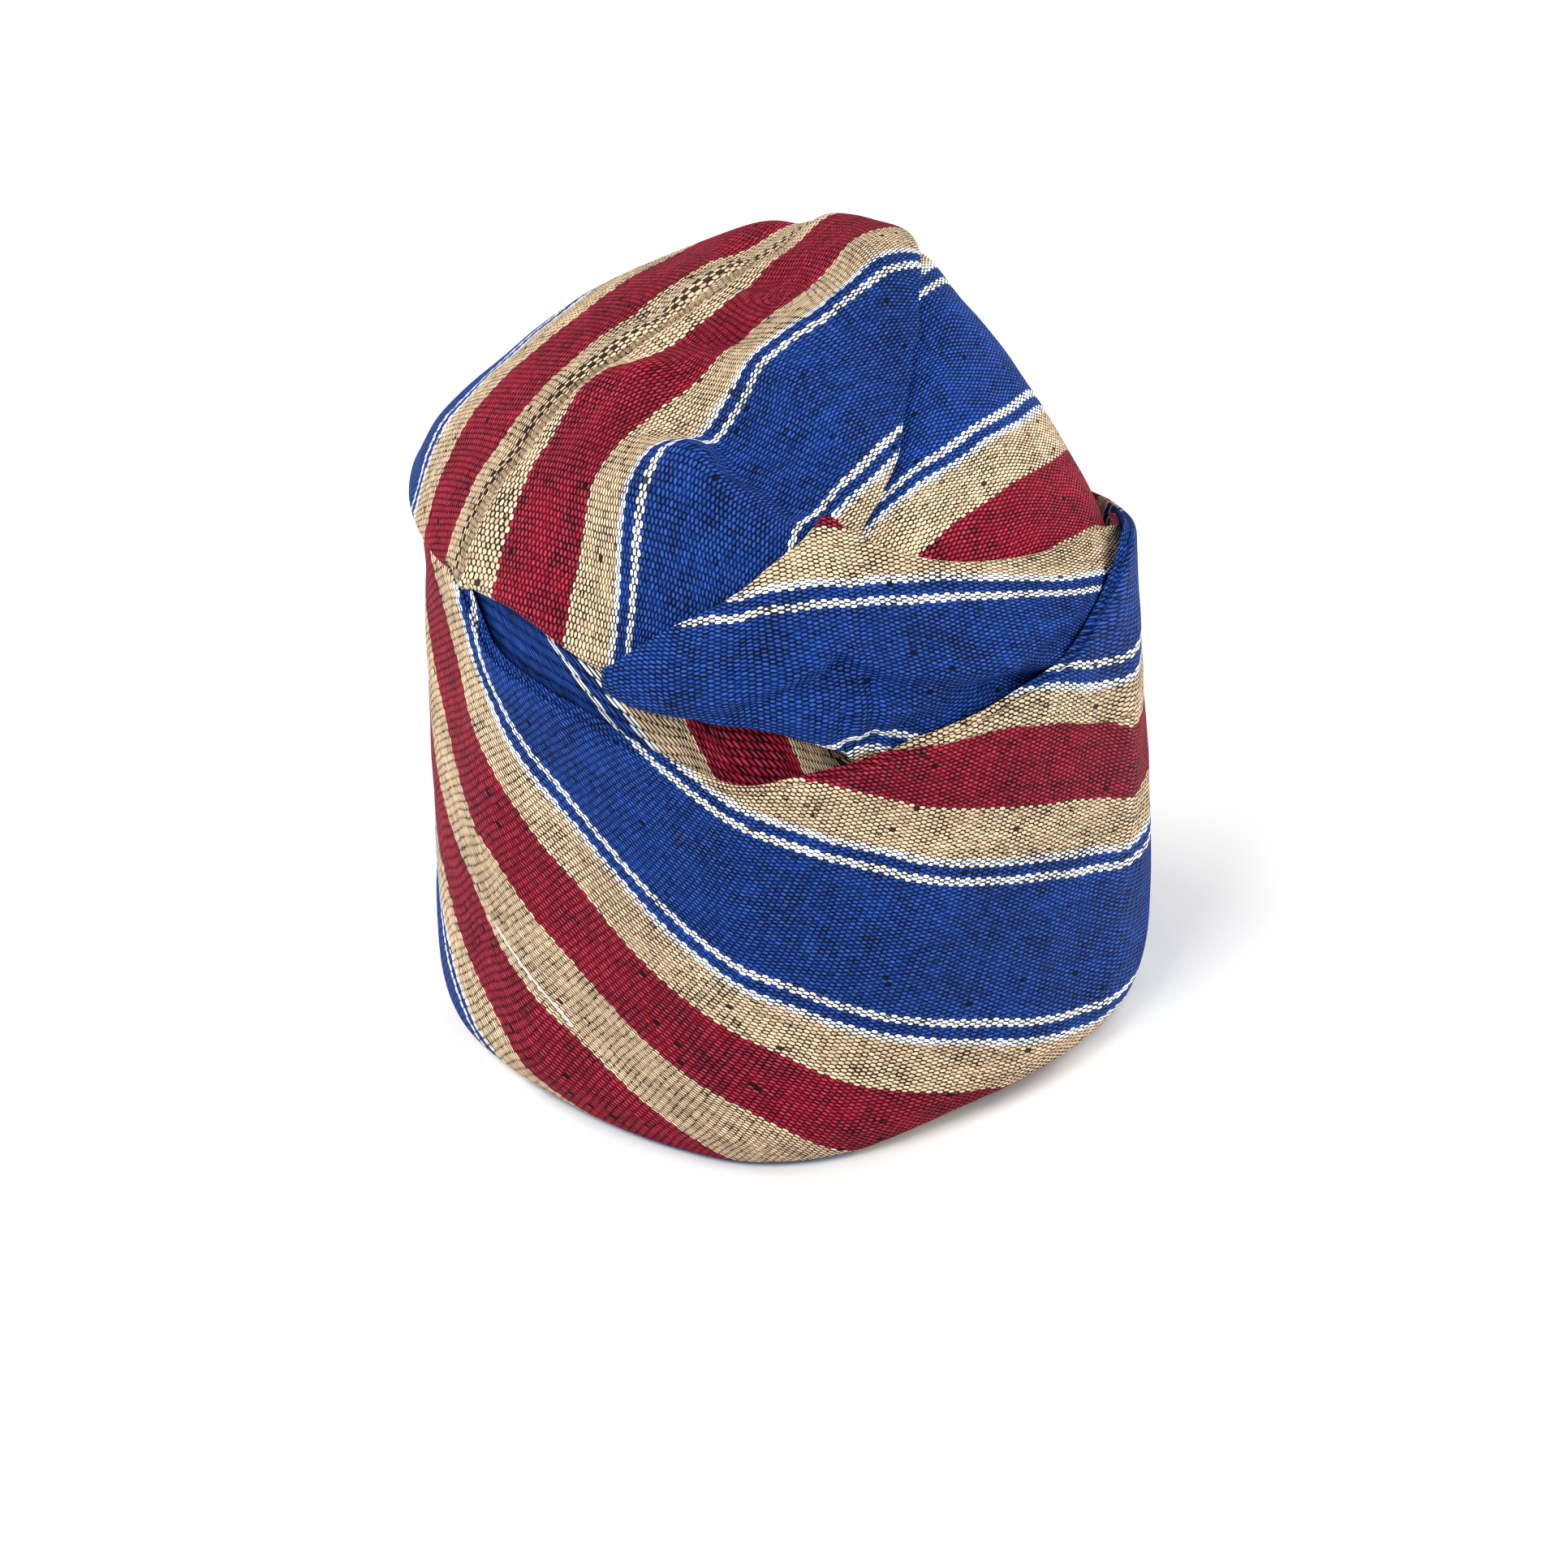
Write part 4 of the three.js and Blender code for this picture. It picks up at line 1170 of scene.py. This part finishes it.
def closed_spline(points, steps):
    """Smooth closed curve through the points along the second axis, which ends on its first
    point again."""
    a, b = np.roll(points, 1, 1), points
    c, d = np.roll(points, -1, 1), np.roll(points, -2, 1)
    parts = []
    for u in np.arange(steps) / steps:
        square = (2 * a - 5 * b + 4 * c - d) * u * u
        cube = (3 * b - 3 * c + d - a) * u**3
        parts.append(0.5 * (2 * b + (c - a) * u + square + cube))
    curve = np.stack(parts, 2).reshape(points.shape[0], -1, 3)
    curve[..., 2] = np.maximum(curve[..., 2], 0)
    return np.concatenate([curve, curve[:, :1]], 1)


def run_length(sections):
    step = np.linalg.norm(np.diff(sections, axis=1), axis=-1)
    return np.concatenate([np.zeros((len(sections), 1)), np.cumsum(step, axis=1)], 1)


def band_controls(azimuth):
    """Cross-sections of the band: up the outside from under the rim, over the top, down the
    inside and round the roll of the rim."""
    rim = ring_column(BAND, "rim", azimuth) * oval(azimuth)
    top = ring_column(BAND, "top", azimuth) * BAND_HEIGHT
    lift = np.maximum(ring_column(BAND, "lift", azimuth), 0)
    wall = BAND_WALL

    def radius_at(share):
        return band_radius(azimuth, share * top)

    belly = radius_at(BELLY)
    tuck = belly - rim
    run = [(rim + 0.5 * tuck, lift + 2), (rim + 0.8 * tuck, lift + 6.5)]
    run += [(radius_at(share), share * top) for share in (BELLY, 0.3, 0.5, 0.7, 0.88)]
    run += [(radius_at(0.97), top - TOP_DROP), (radius_at(1) - wall / 2, top)]
    run += [(radius_at(1) - wall, top - TOP_DROP), (radius_at(0.7) - wall, 0.7 * top)]
    run += [(radius_at(0.4) - wall, 0.4 * top), (belly - wall, BELLY * top)]
    run += [(rim + 0.4 * tuck - 1, lift + 5), (rim - RIM_TURN, lift + 2.6)]
    run += [(rim - RIM_TURN, lift), (rim, lift)]
    return np.concatenate([place(azimuth, r, z) for r, z in run], 1)


def over_edge(azimuth, height):
    """How far a place of the band lies above the edge of the upper wrap."""
    past = height - guide_lines(OVER_EDGE, azimuth)[0]
    covered = (azimuth > OVER_EDGE[0][0]) & (azimuth < OVER_EDGE[-1][0])
    return np.where(covered, past, NOT_COVERED)


def seam_place(azimuth, height):
    """Place along the seam, from 0 to 1, and millimetres away from it."""
    seam = np.array(SEAM_TO) - np.array(SEAM_FROM)
    length = np.linalg.norm(seam)
    start = np.stack([plan_arc(azimuth) - SEAM_FROM[0], height - SEAM_FROM[1]], -1)
    along = start @ seam / length
    away = (start[..., 0] * seam[1] - start[..., 1] * seam[0]) / length
    return np.stack([along / length, away, 0 * away], -1)


def make_band():
    """The outer wrap, and the move that all pieces share."""
    sections = closed_spline(band_controls(ring_turns[:, None]), BAND_FINENESS)
    length = run_length(sections)
    start = 2 * BAND_FINENESS
    height = sections[:, start, 2][:, None] + length - length[:, start][:, None]
    azimuth = np.broadcast_to(ring_turns[:, None], height.shape)
    lines = guide_lines(BAND_GUIDES, azimuth)
    cloth = with_run(sections, between_guides(height, lines, BAND_GUIDE_PLACES))
    over = over_edge(azimuth, height)
    seam = seam_place(azimuth, height)
    rise = ramp(sections[..., 2], *RIM_CALM)
    slower_up = sections * np.array([1, 1, 0.6])
    push = waves(slower_up, 3, *BAND_WAVES[0]) + waves(sections, 4, *BAND_WAVES[1])
    sections = sections + outward(sections) * (push * rise)[..., None]
    top = ring_column(BAND, "top", ring_turns)[:, None] * BAND_HEIGHT
    wear = bump(sections[..., 2], 0, RIM_WEAR_SPREAD) + TOP_WEAR * bump(height, top, TOP_WEAR_SPREAD)
    shift = centre_of("band", sections)
    material = cloth_material("band_cloth", 1.0, over=True, dashed=0.25)
    band = loop_mesh("band_wrap", sections + shift, cloth, wear, material)
    point_values(band.data, "over", "FLOAT", over[:-1, :-1])
    point_values(band.data, "seam", "FLOAT_VECTOR", seam[:-1, :-1])
    return band, shift


def make_cap(shift):
    azimuth = ring_turns[:, None]
    inset = ring_column(CAP, "inset", azimuth)
    lean = ring_column(CAP, "lean", azimuth)
    top = ring_column(CAP, "top", azimuth) * BAND_HEIGHT
    base = CAP_LEANS * BAND_HEIGHT

    def outer(z):
        rise = np.maximum(z - base, 0) / (top - base)
        return band_radius(azimuth, np.minimum(z, CAP_FOLLOWS * BAND_HEIGHT)) - inset - lean * rise

    levels = [CAP_FOOT + 0 * top] + [share * top for share in CAP_LEVELS]
    outside = [place(azimuth, outer(z), z) for z in levels]
    inside = [place(azimuth, outer(z) - CAP_WALL, z) for z in levels[::-1]]
    sections = closed_spline(np.concatenate(outside + inside, 1), CAP_FINENESS)
    rows = np.array(CAP_GUIDES, float)
    arc = np.broadcast_to(plan_arc(azimuth), sections.shape[:2])
    lines = np.stack([np.interp(arc, rows[:, 0], rows[:, k]) for k in range(1, rows.shape[1])])
    cloth = with_run(sections, between_guides(sections[..., 2], lines, CAP_GUIDE_PLACES))
    sections = sections + outward(sections) * waves(sections, 12, *CAP_WAVES)[..., None]
    wear = bump(sections[..., 2], top, TOP_WEAR_SPREAD)
    material = cloth_material("cap_cloth", 2.0)
    return loop_mesh("inner_wrap", sections + shift, cloth, wear, material)


def hem_roll(outer, roll):
    """Continues a grid past its last column in a roll under its own edge. roll is the
    radius for each row."""
    across = unit(outer[:, -1] - outer[:, -2])
    along = np.gradient(outer[:, -1], axis=0)
    normal = facing_out(unit(np.cross(along, across)), outer[:, -1])
    middle = outer[:, -1] - roll[:, None] * normal
    parts = [outer]
    for turn in np.linspace(0, ROLL_TURN, ROLL_STEPS + 1)[1:]:
        a = math.radians(turn)
        point = middle + roll[:, None] * (math.cos(a) * normal + math.sin(a) * across)
        parts.append(point[:, None])
    return np.concatenate(parts, 1)


def pleat_lift(points):
    """Height of the pleat, a ridge with a groove beside it along the dashed threads. It fades
    towards the back."""
    q, p = slanted(points[..., 0], points[..., 1])
    off = p - guide_lines(DRAPE_GUIDES, q)[DRAPE_GUIDE_PLACES.index(PLEAT_PLACE)]
    return bumps(off, PLEAT) * (1 - PLEAT_LOSS * ramp(q, *PLEAT_FADE))


def raised(points, seed, pleats=False):
    """Points of the crown with the unevenness, dents and ridges of soft cloth."""
    lift = uneven(points, seed, CROWN_WAVES) + fold_lift(points, TOP_FOLDS)
    if pleats:
        off_pole = ramp(np.hypot(points[..., 0], points[..., 1]), *POLE_CALM)
        lift = lift + off_pole * fold_lift(points, DRAPE_FOLDS) + pleat_lift(points)
    moved = points.copy()
    moved[..., 2] += lift
    return moved


def make_drape(shift):
    turns = np.linspace(-180, 180, DRAPE_STATIONS)
    reach = drape_reach(turns)
    shares = np.linspace(POLE_SHARE, 1.0, DRAPE_RINGS)
    outer = raised(crown_point(turns[:, None], shares[None] * reach[:, None]), 21, pleats=True)
    outer = hem_roll(outer, ROLL_THIN + ROLL_MORE * ramp(reach, *HEM_HANGS))
    # past the hem the stripes carry on at the rate that they have there
    across = crown_across(outer, DRAPE_GUIDES, DRAPE_GUIDE_PLACES)
    length = run_length(outer)
    hem = DRAPE_RINGS - 1
    rate = (across[:, hem] - across[:, hem - 2]) / (length[:, hem] - length[:, hem - 2])
    past = length[:, hem + 1:] - length[:, hem][:, None]
    across[:, hem + 1:] = across[:, hem][:, None] + rate[:, None] * past
    cloth = with_run(outer, across, ring=True)
    wear = np.zeros(outer.shape[:2])
    wear[:, hem - 1:] = HEM_WEAR
    material = cloth_material("drape_cloth", 3.0)
    return sheet_mesh("crown_drape_cloth", outer + shift, cloth, wear, CROWN_WALL, material, ring=True)


def panel_points():
    """The panel runs on under the drape, and comes up past the crease."""
    turns = np.linspace(CREASE_START + PANEL_SHORT, CREASE_END - PANEL_SHORT, PANEL_STATIONS)
    reach = drape_reach(turns)
    hem = hem_radius(turns)
    start = np.maximum(reach - PANEL_TUCK / hem, PANEL_FIRST)[:, None]
    shares = start + (PANEL_LAST - start) * np.linspace(0, 1, PANEL_RINGS)[None]
    past = (shares - reach[:, None]) * hem[:, None]
    ease = ramp(past, *PANEL_RISES)
    ease = ease * ease * (3 - 2 * ease)
    drop = -(CROWN_WALL + LAYER_GAP) * (1 - PANEL_LIFT * ease)
    azimuth = np.broadcast_to(turns[:, None], shares.shape)
    return crown_point(azimuth, shares) + crown_normal(azimuth, shares) * drop[..., None]


def make_panel(shift):
    outer = raised(panel_points(), 31)
    cloth = with_run(outer, crown_across(outer, PANEL_GUIDES, PANEL_GUIDE_PLACES))
    wear = np.zeros(outer.shape[:2])
    # painted light: the panel's cloth is painted 1.2 times lighter than the same cloth on the other
    # pieces, for the brighter light on it
    material = cloth_material("panel_cloth", 4.0, painted_light_scale=1.2)
    return sheet_mesh("crown_panel_cloth", outer + shift, cloth, wear, CROWN_WALL, material)


def fold_points(turns, steps):
    """The front fold hangs from the crown in a soft curve, and tucks into the band."""
    upper = column(FOLD, "upper", turns) * CROWN_HEIGHT
    lower = column(FOLD, "lower", turns) * CROWN_HEIGHT
    reach = column(FOLD, "reach", turns) * oval(turns)
    puff = column(FOLD, "puff", turns)
    band_top = ring_column(BAND, "top", turns) * BAND_HEIGHT
    clear = FOLD_WALL + LAYER_GAP
    share = crown_share_at(turns, upper)
    start = crown_point(turns, share) + crown_normal(turns, share) * clear
    start_radius = np.hypot(start[..., 0], start[..., 1])
    z = start[..., 2] + (lower - start[..., 2]) * steps
    azimuth = np.broadcast_to(turns, z.shape)
    share = crown_share_at(azimuth, z)
    on_crown = crown_point(azimuth, share) + crown_normal(azimuth, share) * clear
    hug = np.hypot(on_crown[..., 0], on_crown[..., 1])
    straight = start_radius + (reach - start_radius) * np.sin(steps * math.pi / 2)
    loose = np.maximum(hug, straight) + puff * np.sin(steps * math.pi)
    past = np.maximum(z - band_top - FOLD_OVER_BAND, 0)
    tucked = band_radius(azimuth, np.minimum(z, band_top)) - BAND_WALL - GAP + past / 2
    return place(azimuth, np.where(azimuth > FOLD_TUCK, np.minimum(loose, tucked), loose), z)


def fold_push(outer, turns, steps):
    """Crest across the fold with a groove under it, and gathers at its foot."""
    length = run_length(outer)
    off = length - guide_lines(FOLD_CREST, turns)[0]
    fade = np.sin(steps * math.pi) ** 0.5 * ramp(turns, *CREST_STARTS)
    gathers = np.sin(turns * GATHER_RATE) * bump(turns, *GATHER_AZIMUTH) * bump(length, *GATHER_DEPTH)
    return fade * bumps(off, CREST) + gathers + waves(outer, 51, *FOLD_WAVES)


def make_fold(shift):
    turns = np.linspace(FOLD["azimuth"][0], FOLD["azimuth"][-1], FOLD_STATIONS)[:, None]
    steps = np.linspace(0, 1, FOLD_RINGS)[None]
    outer = fold_points(turns, steps)
    push = fold_push(outer, turns, steps) * ramp(steps, *FOLD_STARTS)
    outer = outer + outward(outer) * push[..., None]
    length = run_length(outer)
    lines = guide_lines(FOLD_GUIDES, np.broadcast_to(turns, length.shape))
    cloth = with_run(outer, between_guides(length, lines, FOLD_GUIDE_PLACES))
    wear = np.zeros(length.shape)
    material = cloth_material("fold_cloth", 5.0)
    return sheet_mesh("front_fold_cloth", outer + shift, cloth, wear, FOLD_WALL, material)


band, shift = make_band()
cap = make_cap(shift)
drape = make_drape(shift)
panel = make_panel(shift)
fold = make_fold(shift)

PIECES = [
    (band, "band", "band_cloth"),
    (cap, "inner_cap", "cap_cloth"),
    (drape, "crown_drape", "drape_cloth"),
    (panel, "crown_panel", "panel_cloth"),
    (fold, "front_fold", "fold_cloth"),
]
for piece, node, slot in PIECES:
    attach(piece, "root")
    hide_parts(node)

# Floor, light and camera, in metres
FLOOR_HALF = 3.0
FLOOR_COLOR = (0.86, 0.86, 0.86, 1)
FLOOR_ROUGHNESS = 0.9
WORLD_STRENGTH = 0.5
PHOTO_PIXELS = 1932
PIXELS_PER_METRE = 4620.0
SENSOR = 36.0
CAMERA_HEIGHT_ANGLE = 29.0
CAMERA_DISTANCE = 1.5
CAMERA_ASIDE = -0.0009
CAMERA_UP = 0.0579
LIGHT_TARGET = (0, 0, 0.1)

# Name, place, size and power of each light
LIGHTS = [
    ("key", (-0.7, -1.1, 1.3), 0.7, 24),
    ("fill", (1.2, -0.9, 0.7), 1.0, 9),
    ("left_rim", (-1.3, 0.5, 0.8), 0.9, 17),
    ("right_rim", (1.3, 0.6, 0.9), 0.9, 17),
]


def build_stage():
    corners = [(x * FLOOR_HALF, y * FLOOR_HALF, 0) for x, y in ((-1, -1), (1, -1), (1, 1), (-1, 1))]
    floor_mesh = bpy.data.meshes.new("floor")
    floor_mesh.from_pydata(corners, [], [(0, 1, 2, 3)])
    pale = bpy.data.materials.new("pale_floor")
    pale.use_nodes = True
    shader = pale.node_tree.nodes["Principled BSDF"]
    shader.inputs["Base Color"].default_value = FLOOR_COLOR
    shader.inputs["Roughness"].default_value = FLOOR_ROUGHNESS
    floor_mesh.materials.append(pale)
    add_object("floor", floor_mesh)
    world = bpy.data.worlds.new("studio")
    world.use_nodes = True
    background = world.node_tree.nodes["Background"]
    background.inputs["Color"].default_value = (1, 1, 1, 1)
    background.inputs["Strength"].default_value = WORLD_STRENGTH
    bpy.context.scene.world = world
    bpy.context.scene.view_settings.view_transform = "Standard"


def add_light(name, at, size, power):
    data = bpy.data.lights.new(name, "AREA")
    data.size = size
    data.energy = power
    light = add_object(name, data)
    light.location = at
    light.rotation_euler = (Vector(LIGHT_TARGET) - Vector(at)).to_track_quat("-Z", "Y").to_euler()


def add_camera():
    angle = math.radians(CAMERA_HEIGHT_ANGLE)
    target = Vector((CAMERA_ASIDE + shift[0] * MM, shift[1] * MM, CAMERA_UP))
    data = bpy.data.cameras.new("camera")
    data.sensor_width = SENSOR
    data.lens = PIXELS_PER_METRE * CAMERA_DISTANCE * SENSOR / PHOTO_PIXELS
    camera = add_object("camera", data)
    camera.location = target + CAMERA_DISTANCE * Vector((0, -math.cos(angle), math.sin(angle)))
    camera.rotation_euler = (math.radians(90) - angle, 0, 0)
    bpy.context.scene.camera = camera


build_stage()
for light in LIGHTS:
    add_light(*light)
add_camera()
